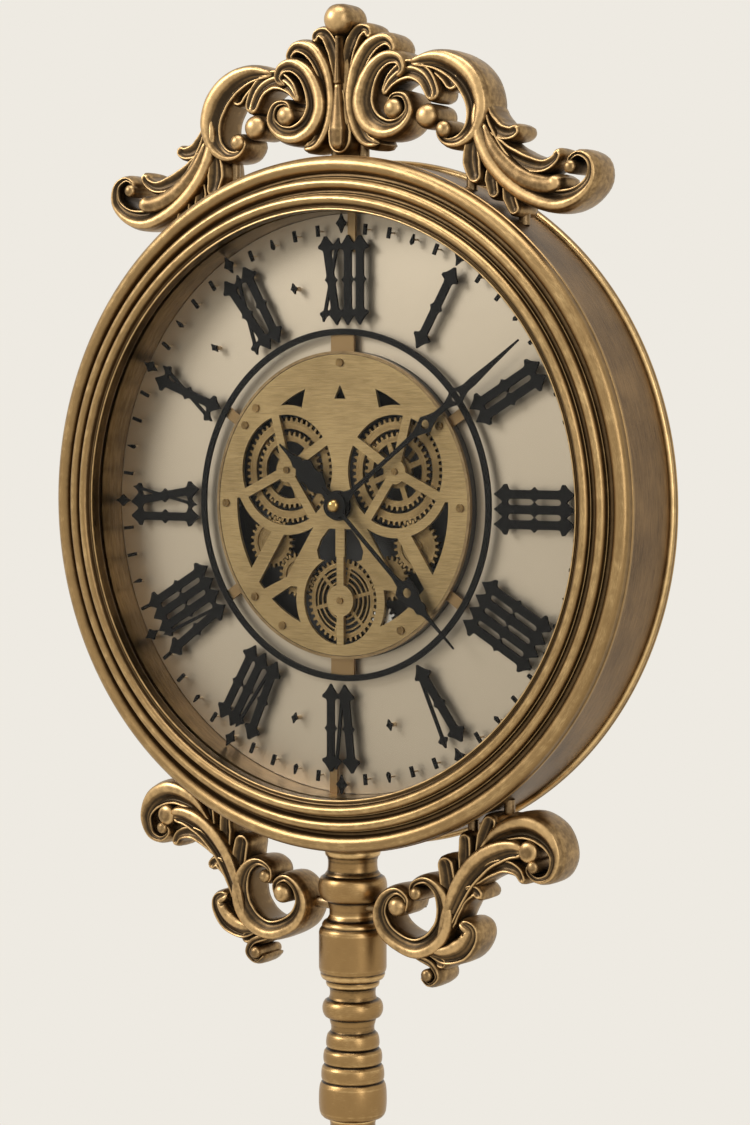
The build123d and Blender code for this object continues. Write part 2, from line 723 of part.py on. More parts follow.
BORE_R = STUD_R + STUD_FIT
INNER_TIP_R = pitch_r(INNER_TEETH) + ADDENDUM * GEAR_MODULE
RING_INNER_R = INNER_TIP_R + 2.0
RING_BACK_THICK = 1.2


def ring_gear(centre, phase):
    """Toothed ring carried on four thin arms that pass behind the inner wheel."""
    ring = placed(toothed(RING_TEETH, phase) - Circle(RING_INNER_R), centre, GEAR_DEPTH, GEAR_THICK)
    arms = Circle(STUD_R * 3)
    for bar in spokes(4, 0, RING_INNER_R + 1.0, 3.0, 50):
        arms += bar
    return ring + placed(arms - Circle(BORE_R), centre, GEAR_BACK, RING_BACK_THICK)


def inner_gear(centre):
    """Smaller wheel in front of the arms, with four arc windows."""
    rim_r = pitch_r(INNER_TEETH) - 6.0
    wheel = toothed(INNER_TEETH, math.pi / 2) - Circle(rim_r) + Circle(rim_r - 9.0)
    for bar in spokes(4, 0, rim_r + 1.0, 4.0, 20):
        wheel += bar
    return placed(wheel - Circle(BORE_R), centre, GEAR_DEPTH, GEAR_THICK)


def lower_gear():
    """Wheel with thin concentric bands carried on six spokes."""
    rim_r = pitch_r(LOWER_TEETH) - 5.0
    wheel = toothed(LOWER_TEETH, LOWER_PHASE) - Circle(rim_r) + Circle(BRIDGE_HUB_R)
    for band in (14.5, 18.5, 22.5):
        wheel += Circle(band) - Circle(band - 1.2)
    for bar in spokes(6, 0, rim_r + 1.0, 2.6, 15):
        wheel += bar
    return placed(wheel - Circle(BORE_R), LOWER, GEAR_DEPTH, GEAR_THICK)


def small_gear(centre, teeth, phase):
    """Solid wheel with a recessed web and a bored hub."""
    wheel = placed(toothed(teeth, phase) - Circle(BORE_R), centre, GEAR_DEPTH, GEAR_THICK)
    dish = Circle(pitch_r(teeth) - 5.0) - Circle(BORE_R + 2.0)
    return wheel - placed(dish, centre, GEAR_DEPTH, 1.0)


SPIDERS = (LEFT_RING, RIGHT_RING)
LONG_STUDS = SPIDERS + (LOWER,)
SHORT_STUDS = (LEFT_IDLER, RIGHT_IDLER, LEFT_LINK, RIGHT_LINK)


def wheel_studs():
    """Fixed studs on the back plate that the wheels turn on, with collars behind the wheels."""
    studs = []
    for centre in LONG_STUDS + SHORT_STUDS:
        front = PLATE_DEPTH - STUD_PROUD if centre in LONG_STUDS else GEAR_DEPTH - RUN_GAP
        collar_front = GEAR_BACK + (RING_BACK_THICK if centre in SPIDERS else 0) + RUN_GAP
        stud = rod(*centre, STUD_R, front, BACK_PLATE_DEPTH)
        stud += rod(*centre, STUD_R * 1.8, collar_front, BACK_PLATE_DEPTH)
        studs.append(stud)
    return group(studs)


def wheel_window(teeth):
    return pitch_r(teeth) + ADDENDUM * GEAR_MODULE + WHEEL_WINDOW_GAP


def front_plate():
    """Skeleton plate: two spider windows, a lower window, and openings between its struts."""
    window_r = wheel_window(RING_TEETH)
    plate = Circle(PLATE_EDGE)
    inner_edge = PLATE_EDGE - PLATE_BAND
    open_zone = Circle(inner_edge)
    upper_z = RING_WHEEL_Z - 21.0
    solid_zone = Pos(0, (upper_z + PLATE_EDGE) / 2) * Rectangle(2 * PLATE_EDGE, PLATE_EDGE - upper_z)
    solid_zone += Rectangle(30, 30)
    solid_zone += Pos(0, -26) * Rectangle(8, 30)
    for side, centre in ((1, LEFT_RING), (-1, RIGHT_RING)):
        solid_zone += Pos(*centre) * Circle(window_r + WINDOW_RIM)
        solid_zone += Polygon(
            (side * -8, 8), (side * 4, -6), (side * -34, -60), (side * -52, -60), align=None)
        solid_zone += Polygon(
            (side * -60, -18), (side * -50, -22), (side * -78, -66), (side * -88, -60), align=None)
        solid_zone += Polygon(
            (side * -34, -47), (side * -84, -70), (side * -84, -83), (side * -34, -54), align=None)
    solid_zone += Pos(*LOWER) * Circle(LOWER_WINDOW_R + WINDOW_RIM)
    plate -= open_zone - solid_zone
    for side, centre in ((1, LEFT_RING), (-1, RIGHT_RING)):
        wedge = Polygon((side * -29, 92), (side * -35, 66), (side * -66, 66), (side * -66, 92), align=None)
        wedge = wedge & Circle(inner_edge - 3.5)
        plate -= wedge - Pos(*centre) * Circle(window_r + WINDOW_RIM)
        plate -= Polygon(
            (side * 4, -17), (side * 10, -17), (side * 17, -25), (side * 20.5, -33), (side * 19, -39),
            (side * 12, -41), (side * 4, -41), align=None)
    for side, centre in ((1, LEFT_RING), (-1, RIGHT_RING)):
        spider = Circle(9.0)
        for degrees in SPIDER_ANGLES:
            bar = Pos(window_r / 2, 0) * Rectangle(window_r + 4.0, SPOKE_WIDTH)
            turn = degrees if side == 1 else 180 - degrees
            spider += Rot(0, 0, turn) * bar
        plate = plate - Pos(*centre) * Circle(window_r) + Pos(*centre) * spider
        plate -= Pos(*centre) * Circle(STUD_R)
    plate -= Pos(*LOWER) * Circle(LOWER_WINDOW_R)
    plate -= Circle(HOUR_PIPE_R + 1.0)
    plate -= Pos(0, 82) * Polygon((-5, -5), (5, -5), (0, 5), align=None)
    body = slab(plate, PLATE_DEPTH, PLATE_THICK)
    return body - [rod(x, z, SCREW_R, PLATE_DEPTH, PLATE_BACK) for x, z in PILLARS]


def lower_bridge():
    """Upright bar with a round boss across the lower window, lapped behind the front plate."""
    bar = Rectangle(BRIDGE_WIDTH, 2 * (LOWER_WINDOW_R + WINDOW_RIM / 2))
    shown = (bar + Circle(BRIDGE_HUB_R)) & Circle(LOWER_WINDOW_R)
    back = GEAR_DEPTH - RUN_GAP
    bridge = placed(shown - Circle(STUD_R), LOWER, PLATE_DEPTH, back - PLATE_DEPTH)
    return bridge + placed(bar - Circle(STUD_R), LOWER, PLATE_BACK, back - PLATE_BACK)


PILLARS = [polar(PILLAR_CIRCLE_R, angle) for angle in PILLAR_ANGLES]


def plate_pillars():
    return group(rod(x, z, PILLAR_R, PLATE_BACK, BACK_PLATE_DEPTH) for x, z in PILLARS)


def plate_screws():
    return group(
        rod(x, z, SCREW_HEAD_R - 0.6, PLATE_DEPTH - STUD_PROUD, PLATE_DEPTH)
        + rod(x, z, SCREW_R, PLATE_DEPTH, PLATE_BACK)
        for x, z in PILLARS)


def plate_trim():
    return tube(PLATE_EDGE + RUN_GAP, MOVEMENT_R + 0.4, PLATE_DEPTH - 0.3, PLATE_BACK)


def movement_drum():
    """Side wall of the movement, with a ledge for the back plate and a flange on the carrier."""
    ledge = BACK_PLATE_DEPTH + BACK_PLATE_THICK
    drum = turned(
        (DRUM_INNER_R, PLATE_BACK),
        (MOVEMENT_R, PLATE_BACK),
        (MOVEMENT_R, CARRIER_BACK),
        (MOVEMENT_R + DRUM_FLANGE, CARRIER_BACK),
        (MOVEMENT_R + DRUM_FLANGE, CARRIER_BACK + FLANGE_THICK),
        (MOVEMENT_R, CARRIER_BACK + FLANGE_THICK),
        (MOVEMENT_R, DRUM_BACK),
        (DRUM_INNER_R, DRUM_BACK),
        (DRUM_INNER_R, ledge + FLANGE_THICK),
        (DRUM_INNER_R - 4.0, ledge + FLANGE_THICK),
        (DRUM_INNER_R - 4.0, ledge),
        (DRUM_INNER_R, ledge),
    )
    return drum - screw_holes(DRUM_SCREWS, CARRIER_BACK, CARRIER_BACK + FLANGE_THICK)


def back_plate():
    plate = Circle(DRUM_INNER_R - SEAT_PLAY) - Circle(HOUR_PIPE_R + 1.0)
    plate -= Pos(*MOTOR) * Circle(PINION_SHAFT_R + 1.0)
    return slab(plate, BACK_PLATE_DEPTH, BACK_PLATE_THICK)


BACK_PLATE_REAR = BACK_PLATE_DEPTH + BACK_PLATE_THICK


def drive_motor():
    body = rod(*MOTOR, MOTOR_R, BACK_PLATE_REAR, BACK_PLATE_REAR + MOTOR_LENGTH)
    bore = rod(*MOTOR, PINION_SHAFT_R + STUD_FIT, BACK_PLATE_REAR, BACK_PLATE_REAR + 8.0)
    return body - bore


def motor_pinion():
    wheel = placed(toothed(MOTOR_TEETH, MOTOR_PHASE), MOTOR, GEAR_DEPTH, GEAR_THICK)
    return wheel + rod(*MOTOR, PINION_SHAFT_R, GEAR_BACK, BACK_PLATE_REAR + 7.5)


def hand_movement():
    """Quartz movement box behind the back plate, with an open bay for its cell."""
    size = Rectangle(QUARTZ_SIZE, QUARTZ_SIZE)
    box = slab(size, BACK_PLATE_REAR, QUARTZ_DEPTH)
    bay_front = BACK_PLATE_REAR + 1.2
    bay = Pos(0, CELL_Z) * Rectangle(CELL_LENGTH + 2 * CELL_GAP, 2 * (CELL_R + CELL_GAP))
    box -= slab(bay, bay_front, QUARTZ_DEPTH)
    box += rod(0, 0, HOUR_PIPE_R + 1.0 - RUN_GAP, BACK_PLATE_DEPTH - 3.0, BACK_PLATE_REAR)
    box -= rod(0, 0, HOUR_PIPE_R + PIPE_FIT, BACK_PLATE_DEPTH - 3.0, BACK_PLATE_REAR + 6.0)
    box -= rod(KNOB_X, KNOB_Z, PINION_SHAFT_R + STUD_FIT, BACK_PLATE_REAR + 6.0, BACK_PLATE_REAR + QUARTZ_DEPTH)
    return box


def movement_cell():
    depth = BACK_PLATE_REAR + 1.2 + CELL_R
    cell = Cylinder(CELL_R, CELL_LENGTH, rotation=(0, 90, 0))
    nub = Pos(CELL_LENGTH / 2, 0, 0) * Cylinder(CELL_R * 0.35, 2 * CELL_GAP, rotation=(0, 90, 0))
    return HEAD * Pos(0, depth, CELL_Z) * (cell + nub)


def setting_knob():
    rear = BACK_PLATE_REAR + QUARTZ_DEPTH
    stem = rod(KNOB_X, KNOB_Z, PINION_SHAFT_R, BACK_PLATE_REAR + 6.5, rear + RUN_GAP)
    return stem + rod(KNOB_X, KNOB_Z, KNOB_R, rear + RUN_GAP, rear + RUN_GAP + KNOB_LENGTH)


def blade(length, points, holes=()):
    """Symmetrical hand pointing up from its hub, from (distance, half width) pairs.

    Its eyes are given as (distance, radius); distances are shares of the length.
    """
    right = [(half, along * length) for along, half in points]
    left = [(-x, y) for x, y in reversed(right)]
    flat = Polygon(*(right + left), align=None)
    for along, radius in holes:
        flat -= Pos(0, along * length) * Circle(radius)
    return flat


def aimed(flat, degrees):
    return Rot(0, 0, -degrees) * flat


def hour_hand():
    shape = blade(HOUR_LENGTH, [
        (0.0, 4.5), (0.14, 3.6), (0.24, 3.0), (0.30, 6.0), (0.38, 8.6), (0.44, 7.0), (0.50, 7.2),
        (0.56, 9.0), (0.63, 7.0), (0.66, 4.0), (0.71, 4.8), (0.76, 2.8), (0.82, 1.8), (1.0, 0.5)])
    disc = Circle(HOUR_DISC_R)
    hand = slab(aimed(shape, HOUR_ANGLE) + disc, HOUR_DEPTH, HAND_THICK)
    hand += rod(0, 0, HOUR_PIPE_R, HOUR_DEPTH, BACK_PLATE_REAR + 4.0)
    return hand - rod(0, 0, MINUTE_PIPE_R + PIPE_FIT, HOUR_DEPTH, BACK_PLATE_REAR + 4.0)


def minute_hand():
    shape = blade(MINUTE_LENGTH, [
        (0.0, 3.2), (0.055, 4.4), (0.09, 1.8), (0.30, 1.5), (0.44, 1.9), (0.47, 4.0), (0.50, 6.6),
        (0.53, 4.2), (0.56, 2.4), (0.61, 2.2), (0.64, 4.2), (0.667, 7.0), (0.695, 4.4), (0.72, 3.0),
        (0.76, 3.2), (0.86, 1.8), (1.0, 0.5)], [(0.50, 3.4), (0.667, 3.7)])
    hand = slab(aimed(shape, MINUTE_ANGLE) + Circle(MINUTE_DISC_R), MINUTE_DEPTH, HAND_THICK)
    hand += rod(0, 0, MINUTE_PIPE_R, MINUTE_DEPTH, BACK_PLATE_REAR + 5.0)
    return hand - rod(0, 0, SECOND_ARBOR_R + PIPE_FIT, MINUTE_DEPTH, BACK_PLATE_REAR + 5.0)


def second_hand():
    shape = blade(SECOND_LENGTH, [
        (-0.12, 1.8), (0.0, 1.4), (0.50, 1.5), (0.555, 3.0), (0.575, 8.0), (0.60, 8.6), (0.65, 7.4),
        (0.70, 4.2), (0.73, 5.0), (0.755, 2.4), (0.80, 1.4), (1.0, 0.5)], [(0.615, 3.6)])
    hand = slab(aimed(shape, SECOND_ANGLE) + Circle(SECOND_DISC_R), SECOND_DEPTH, HAND_THICK)
    return hand + rod(0, 0, SECOND_ARBOR_R, SECOND_DEPTH, BACK_PLATE_REAR + 5.5)


def center_cap():
    return turned(
        (0, SECOND_DEPTH - CAP_R),
        ((CAP_R * 0.71, SECOND_DEPTH - CAP_R * 0.71), (CAP_R, SECOND_DEPTH)),
        (0, SECOND_DEPTH))


def ribbon(points, widths):
    """Flat band along a smooth line, its width running evenly through the given widths."""
    points = [(x * CASTING_SCALE, z * CASTING_SCALE) for x, z in points]
    widths = [width * CASTING_SCALE for width in widths]
    line = Spline(*points)
    count = 2 * len(points)
    left, right = [], []
    for i in range(count + 1):
        share = i / count
        place = share * (len(widths) - 1)
        step = min(int(place), len(widths) - 2)
        width = widths[step] + (widths[step + 1] - widths[step]) * (place - step)
        at, along = line.position_at(share), line.tangent_at(share)
        side = Vector(-along.Y, along.X, 0) * (width / 2)
        left.append(at + side)
        right.append(at - side)
    ends = [Line(left[-1], right[-1]), Line(right[0], left[0])]
    return make_face([Spline(*left), Spline(*reversed(right))] + ends)


def mirrored(flat):
    return mirror(flat, Plane.YZ)


def casting(strokes, bosses):
    """Scroll casting: bands and round bosses drawn flat and given the ornament's depth."""
    body = None
    for points, widths in strokes:
        band = slab(ribbon(points, widths), ORNAMENT_FRONT, ORNAMENT_DEPTH)
        body = band if body is None else body + band
    for boss in bosses:
        x, z, radius = [value * CASTING_SCALE for value in boss]
        body += rod(x, z, radius, ORNAMENT_FRONT, ORNAMENT_FRONT + ORNAMENT_DEPTH)
    return body


CROWN_HALF = (
    ([(5, 262), (4, 300), (8, 328), (15, 341)], (6, 10, 9)),
    ([(36, 264), (22, 265), (12, 290), (16, 316), (36, 332)], (6, 12, 12, 10)),
    ([(46, 315), (32, 316), (21, 297), (30, 274), (48, 268), (59, 279), (50, 290)], (8, 13, 14, 9)),
)
CROWN_BOSSES = ((46, 313, 6), (46, 282, 9), (36, 330, 6), (15.5, 339, 4.5), (36, 264, 4.5))
ARM_STROKES = (
    ([(59, 308), (72, 313), (88, 310), (106, 301), (115, 283), (110, 262), (96, 254)], (7, 12, 15, 12, 10)),
    ([(62, 305), (72, 304), (76, 290)], (7, 9, 8)),
    ([(84, 308), (93, 300), (94, 290)], (7, 7, 6)),
    ([(116, 284), (122, 262), (138, 236), (160, 218), (184, 212), (204, 222)], (10, 19, 21, 20, 18)),
    ([(126, 268), (136, 256), (143, 260)], (8, 8, 6)),
    ([(128, 256), (146, 240), (163, 233), (178, 238)], (12, 14, 10)),
    ([(118, 262), (110, 246), (116, 228)], (8, 10, 8)),
    ([(128, 240), (131, 217)], (8, 7)),
    ([(140, 226), (147, 206)], (8, 8)),
)
ARM_BOSSES = ((76, 274, 9.2), (90, 264, 9), (94, 288, 4.5), (199, 230, 16), (180, 237, 6), (143, 259, 5))
BRACKET_STROKES = (
    ([(50, 276), (38, 281), (34, 294), (44, 309), (62, 315), (80, 307), (89, 290), (82, 270), (68, 266)],
     (9, 12, 13, 12, 10)),
    ([(93, 286), (91, 263), (89, 249)], (12, 15, 12)),
    ([(107, 262), (106, 243), (106, 231)], (10, 11, 9)),
    ([(119, 246), (124, 230), (131, 219)], (10, 14, 14)),
    ([(88, 306), (97, 280), (112, 252), (132, 239), (152, 234)], (10, 14, 20, 20)),
    ([(130, 236), (150, 226), (168, 226), (178, 240), (170, 250)], (10, 16, 16, 12)),
    ([(112, 262), (126, 250), (142, 246), (154, 252)], (12, 13, 9)),
    ([(95, 296), (101, 276), (116, 269)], (12, 10, 7)),
    ([(74, 316), (97, 315), (109, 304), (104, 296)], (8, 13, 10)),
    ([(60, 316), (76, 324), (81, 331), (74, 335)], (8, 8, 7)),
)
BRACKET_INNER_X = 30.0 * CASTING_SCALE
BRACKET_BOSSES = ((50, 286, 10), (66, 273, 8), (167, 246, 9), (153, 252, 5), (106, 297, 6), (76, 333, 6),
                  (137, 224, 8), (117, 269, 4.5))


def downward(items):
    """The brackets hang below the centre, so their heights are negative."""
    strokes, bosses = items
    flipped = [([(x, -z) for x, z in points], widths) for points, widths in strokes]
    return flipped, [(x, -z, radius) for x, z, radius in bosses]


def crown_centre():
    half = casting(CROWN_HALF, CROWN_BOSSES)
    body = half + mirrored(half)
    top = FINIAL_DRAWN_Z - FINIAL_R / CASTING_SCALE
    stem = Polygon((-3, top), (3, top), (6, 300), (6, 266), (0, 254), (-6, 266), (-6, 300), align=None)
    stem = scale(stem, CASTING_SCALE)
    foot = scale(Pos(0, 268) * Rectangle(64, 12), CASTING_SCALE)
    body += slab(stem, ORNAMENT_FRONT - STEM_PROUD, ORNAMENT_DEPTH + STEM_PROUD)
    body += slab(foot, ORNAMENT_FRONT, ORNAMENT_DEPTH)
    return body + finial_stud() - shell_pegs(CROWN_PEGS[:1])


def finial_stud():
    middle = FINIAL_Z - FINIAL_R + FINIAL_STUD_LENGTH / 2
    return HEAD * Pos(0, FINIAL_DEPTH, middle) * Cylinder(FINIAL_STUD_R, FINIAL_STUD_LENGTH)


def finial_ball():
    """Ball drawn out along the depth, bored for the stud of the crown."""
    low, high = FINIAL_DEPTH - FINIAL_SPAN / 2, FINIAL_DEPTH + FINIAL_SPAN / 2
    ball = rod(0, FINIAL_Z, FINIAL_R, low, high)
    for depth in (low, high):
        ball += HEAD * Pos(0, depth, FINIAL_Z) * Sphere(FINIAL_R)
    return ball - finial_stud()


def crown_arm():
    return casting(ARM_STROKES, ARM_BOSSES) - shell_pegs(CROWN_PEGS[1:])


def bracket():
    body = casting(*downward((BRACKET_STROKES, BRACKET_BOSSES)))
    return body - shell_pegs(BRACKET_PEGS) - column_pegs()


def shell_peg(x, z, radius):
    """Upright peg from a casting's foot to the case shell."""
    x, z = x * CASTING_SCALE, z * CASTING_SCALE
    top = abs(z)
    low = math.sqrt(SIDE_R ** 2 - x ** 2) - SHELL_WALL / 2
    sign = 1 if z > 0 else -1
    return HEAD * Pos(x, ORNAMENT_AXIS, sign * (top + low) / 2) * Cylinder(radius, top - low)


CROWN_PEGS = ((12, 266), (104, 256), (147, 212))
BRACKET_PEGS = ((106, -238), (136, -222))
COLUMN_PEG = Pos(0, ORNAMENT_AXIS, -COLUMN_PEG_DROP)


def shell_pegs(places):
    return [shell_peg(side * x, z, CROWN_PEG_R) for x, z in places for side in (1, -1)]


def column_pegs():
    start, end = COLUMN_TOP_R - COLUMN_PEG_BITE, BRACKET_INNER_X + COLUMN_PEG_BITE
    peg = Cylinder(BRACKET_PEG_R, end - start, rotation=(0, 90, 0))
    return [HEAD * COLUMN_PEG * Pos(side * (start + end) / 2, 0, 0) * peg for side in (1, -1)]


def ornament_pegs():
    """Pegs that hold the castings on the case and on the column."""
    return group(shell_pegs(CROWN_PEGS + BRACKET_PEGS) + column_pegs())


def spun(top, radius, members, bore=ROD_R + ROD_PLAY):
    """Turned piece on the column axis, from its top down.

    Each member is its height, the radius at its foot and how far its side swells outward.
    """
    edges = [Line((bore, top), (radius, top))]
    x, z = radius, top
    for height, foot, swell in members:
        end = (foot, z - height)
        if swell:
            edges.append(ThreePointArc((x, z), ((x + foot) / 2 + swell, z - height / 2), end))
        else:
            edges.append(Line((x, z), end))
        x, z = end
    edges += [Line((x, z), (bore, z)), Line((bore, z), (bore, top))]
    return revolve(Plane.XZ * make_face(edges), Axis.Z)


def fitted(members, length, index):
    """Let one member take up whatever length the others leave."""
    others = sum(height for i, (height, _, _) in enumerate(members) if i != index)
    stretched = list(members)
    stretched[index] = (length - others,) + tuple(members[index][1:])
    return stretched


COLLAR = (
    (9, 19.5, 0.8), (1, 18.2, 0), (8, 18.6, -0.5), (4, 20.6, 0), (20, 18.8, 6.0), (12, 17.1, -0.6))
UPPER = (
    (6, 17.5, 2.1), (3, 22.0, -0.6), (3, 24.9, 0.6), (27, 24.9, 0), (5, 22.7, 0.8),
    (4, 19.5, -0.3), (9, 16.9, -0.8), (4, 17.5, 0), (14, 17.5, 5.0), (3, 17.3, 0), (7, 16.0, -0.5),
    (2, 18.0, 0), (11, 18.0, 1.0), (1, 19.5, 0), (11, 19.5, 1.8), (1, 21.2, 0), (12, 21.2, 1.7),
    (1, 23.4, 0), (24, 23.4, 1.7), (3, 17.3, -0.8))
MIDDLE = (
    (8, 17.3, 0), (9, 17.3, 2.5), (4, 15.5, 0), (310, 21.0, 1.5), (4, 17.5, -0.8), (8, 17.5, 2.2),
    (6, 20.0, -0.8))
LOWER_COLUMN = (
    (26, 20.0, 6.5), (6, 17.5, -0.8), (8, 17.5, 2.2), (4, 16.0, 0), (250, 19.5, 1.0), (2, 21.2, 0),
    (12, 21.2, 1.7), (1, 23.4, 0), (24, 23.4, 1.7), (5, 18.5, -0.8), (16, 18.5, 5.5), (6, 22.0, -1.0),
    (8, 30.0, -1.5))


def column_collar():
    body = spun(COLLAR_TOP, COLUMN_TOP_R, fitted(COLLAR, COLLAR_TOP - UPPER_JOINT_Z, 2))
    seat = HEAD * Pos(0, AXIS_DEPTH, 0) * Cylinder(SIDE_R, 4 * COLUMN_TOP_R, rotation=(90, 0, 0))
    return body - seat - column_pegs()


def upper_column():
    return spun(UPPER_JOINT_Z, COLLAR[-1][1], fitted(UPPER, UPPER_JOINT_Z - MIDDLE_JOINT_Z, 3))


def middle_column():
    return spun(MIDDLE_JOINT_Z, UPPER[-1][1], fitted(MIDDLE, MIDDLE_JOINT_Z - LOWER_JOINT_Z, 3))


def lower_column():
    return spun(LOWER_JOINT_Z, MIDDLE[-1][1], fitted(LOWER_COLUMN, LOWER_JOINT_Z - BASE_HEIGHT, 4))


def base_plinth():
    """Round stepped base casting with a round pocket underneath for the weight."""
    bore = ROD_R + ROD_PLAY
    pocket = WEIGHT_R + WEIGHT_PLAY
    section = outline(
        (bore, BASE_HEIGHT),
        (38, BASE_HEIGHT),
        (42, BASE_HEIGHT - 5),
        (42, BASE_HEIGHT - 10),
        ((60, BASE_HEIGHT - 24), (96, BASE_HEIGHT - 29)),
        (96, BASE_HEIGHT - 31),
        (BASE_R - 25, BASE_HEIGHT - 34),
        ((BASE_R - 14, BASE_HEIGHT - 38), (BASE_R - 11, BASE_HEIGHT - 44)),
        (BASE_R - 6, BASE_HEIGHT - 44),
        ((BASE_R, (BASE_HEIGHT - 44 + PAD_THICK) / 2), (BASE_R - 4, PAD_THICK)),
        (pocket, PAD_THICK),
        (pocket, WEIGHT_TOP),
        (bore, WEIGHT_TOP),
    )
    return revolve(Plane.XZ * section, Axis.Z)


NUT_POCKET = NUT_THICK + WASHER_THICK + 1.0


def bottom_disc(radius, low, high):
    return Pos(0, 0, (low + high) / 2) * Cylinder(radius, high - low)


def base_weight():
    plate = bottom_disc(WEIGHT_R, WEIGHT_BOTTOM, WEIGHT_TOP)
    plate -= bottom_disc(WASHER_R + 3, WEIGHT_BOTTOM, WEIGHT_BOTTOM + NUT_POCKET)
    return plate - bottom_disc(ROD_R + ROD_PLAY, WEIGHT_BOTTOM, WEIGHT_TOP)


def base_pads():
    pads = []
    for x, y in ring_of(PAD_COUNT, PAD_CIRCLE_R, 45):
        pads.append(Pos(x, y, 0) * bottom_disc(PAD_R, 0, PAD_THICK))
    return group(pads)


# Seats of the tie rod's two washers: in the weight's pocket and on the case's floor
LOWER_SEAT = WEIGHT_BOTTOM + NUT_POCKET
UPPER_SEAT = HEAD_Z - math.sqrt(SHELL_INNER_R ** 2 - WASHER_R ** 2)


def tie_rod():
    return bottom_disc(ROD_R, LOWER_SEAT - NUT_POCKET, UPPER_SEAT + NUT_POCKET)


def tie_nuts():
    """A washer and a nut at each end of the tie rod."""
    solids = []
    for seat, way in ((LOWER_SEAT, -1), (UPPER_SEAT, 1)):
        washer_end = seat + way * WASHER_THICK
        nut_end = washer_end + way * NUT_THICK
        washer = bottom_disc(WASHER_R, min(seat, washer_end), max(seat, washer_end))
        hexagon = RegularPolygon(NUT_ACROSS / 2, 6, major_radius=False)
        nut = Pos(0, 0, min(washer_end, nut_end)) * extrude(hexagon, NUT_THICK)
        bore = bottom_disc(ROD_R, seat - 2 * NUT_POCKET, seat + 2 * NUT_POCKET)
        solids += [washer - bore, nut - bore]
    return group(solids)


NODES = {
    "bezel_ring": bezel_ring,
    "glass_gasket": glass_gasket,
    "front_glass": front_glass,
    "case_drum": case_drum,
    "rear_rim": rear_rim,
    "back_cover": back_cover,
    "access_door": access_door,
    "door_hinge_pin": hinge_pin,
    "case_screws": case_screws,
    "dial_wall": dial_wall,
    "dial_carrier": dial_carrier,
    "mirror_dial": mirror_dial,
    "hour_numerals": hour_numerals,
    "hour_diamonds": hour_diamonds,
    "minute_marks": minute_marks,
    "chapter_ring": chapter_ring,
    "dial_posts": dial_posts,
    "movement_drum": movement_drum,
    "drum_screws": drum_screws,
    "plate_trim": plate_trim,
    "front_plate": front_plate,
    "plate_screws": plate_screws,
    "plate_pillars": plate_pillars,
    "back_plate": back_plate,
    "lower_bridge": lower_bridge,
    "wheel_studs": wheel_studs,
    "left_ring_gear": lambda: ring_gear(LEFT_RING, LEFT_RING_PHASE),
    "right_ring_gear": lambda: ring_gear(RIGHT_RING, RIGHT_RING_PHASE),
    "left_inner_gear": lambda: inner_gear(LEFT_RING),
    "right_inner_gear": lambda: inner_gear(RIGHT_RING),
    "lower_gear": lower_gear,
    "left_idler_gear": lambda: small_gear(LEFT_IDLER, IDLER_TEETH, LEFT_IDLER_PHASE),
    "right_idler_gear": lambda: small_gear(RIGHT_IDLER, IDLER_TEETH, RIGHT_IDLER_PHASE),
    "left_link_gear": lambda: small_gear(LEFT_LINK, LINK_TEETH, LEFT_LINK_PHASE),
    "right_link_gear": lambda: small_gear(RIGHT_LINK, LINK_TEETH, RIGHT_LINK_PHASE),
    "drive_motor": drive_motor,
    "motor_pinion": motor_pinion,
    "hand_movement": hand_movement,
    "movement_cell": movement_cell,
    "setting_knob": setting_knob,
    "hour_hand": hour_hand,
    "minute_hand": minute_hand,
    "second_hand": second_hand,
    "center_cap": center_cap,
    "crown_center": crown_centre,
    "crown_left_arm": lambda: mirrored(crown_arm()),
    "crown_right_arm": crown_arm,
    "finial_ball": finial_ball,
    "left_bracket": lambda: mirrored(bracket()),
    "right_bracket": bracket,
    "ornament_pegs": ornament_pegs,
    "column_collar": column_collar,
    "upper_column": upper_column,
    "middle_column": middle_column,
    "lower_column": lower_column,
    "tie_rod": tie_rod,
    "tie_nuts": tie_nuts,
    "base_plinth": base_plinth,
    "base_weight": base_weight,
    "base_pads": base_pads,
}

os.makedirs("parts", exist_ok=True)
for node, build in NODES.items():
    export_step(build(), os.path.join("parts", node + ".step"))
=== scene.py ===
import math

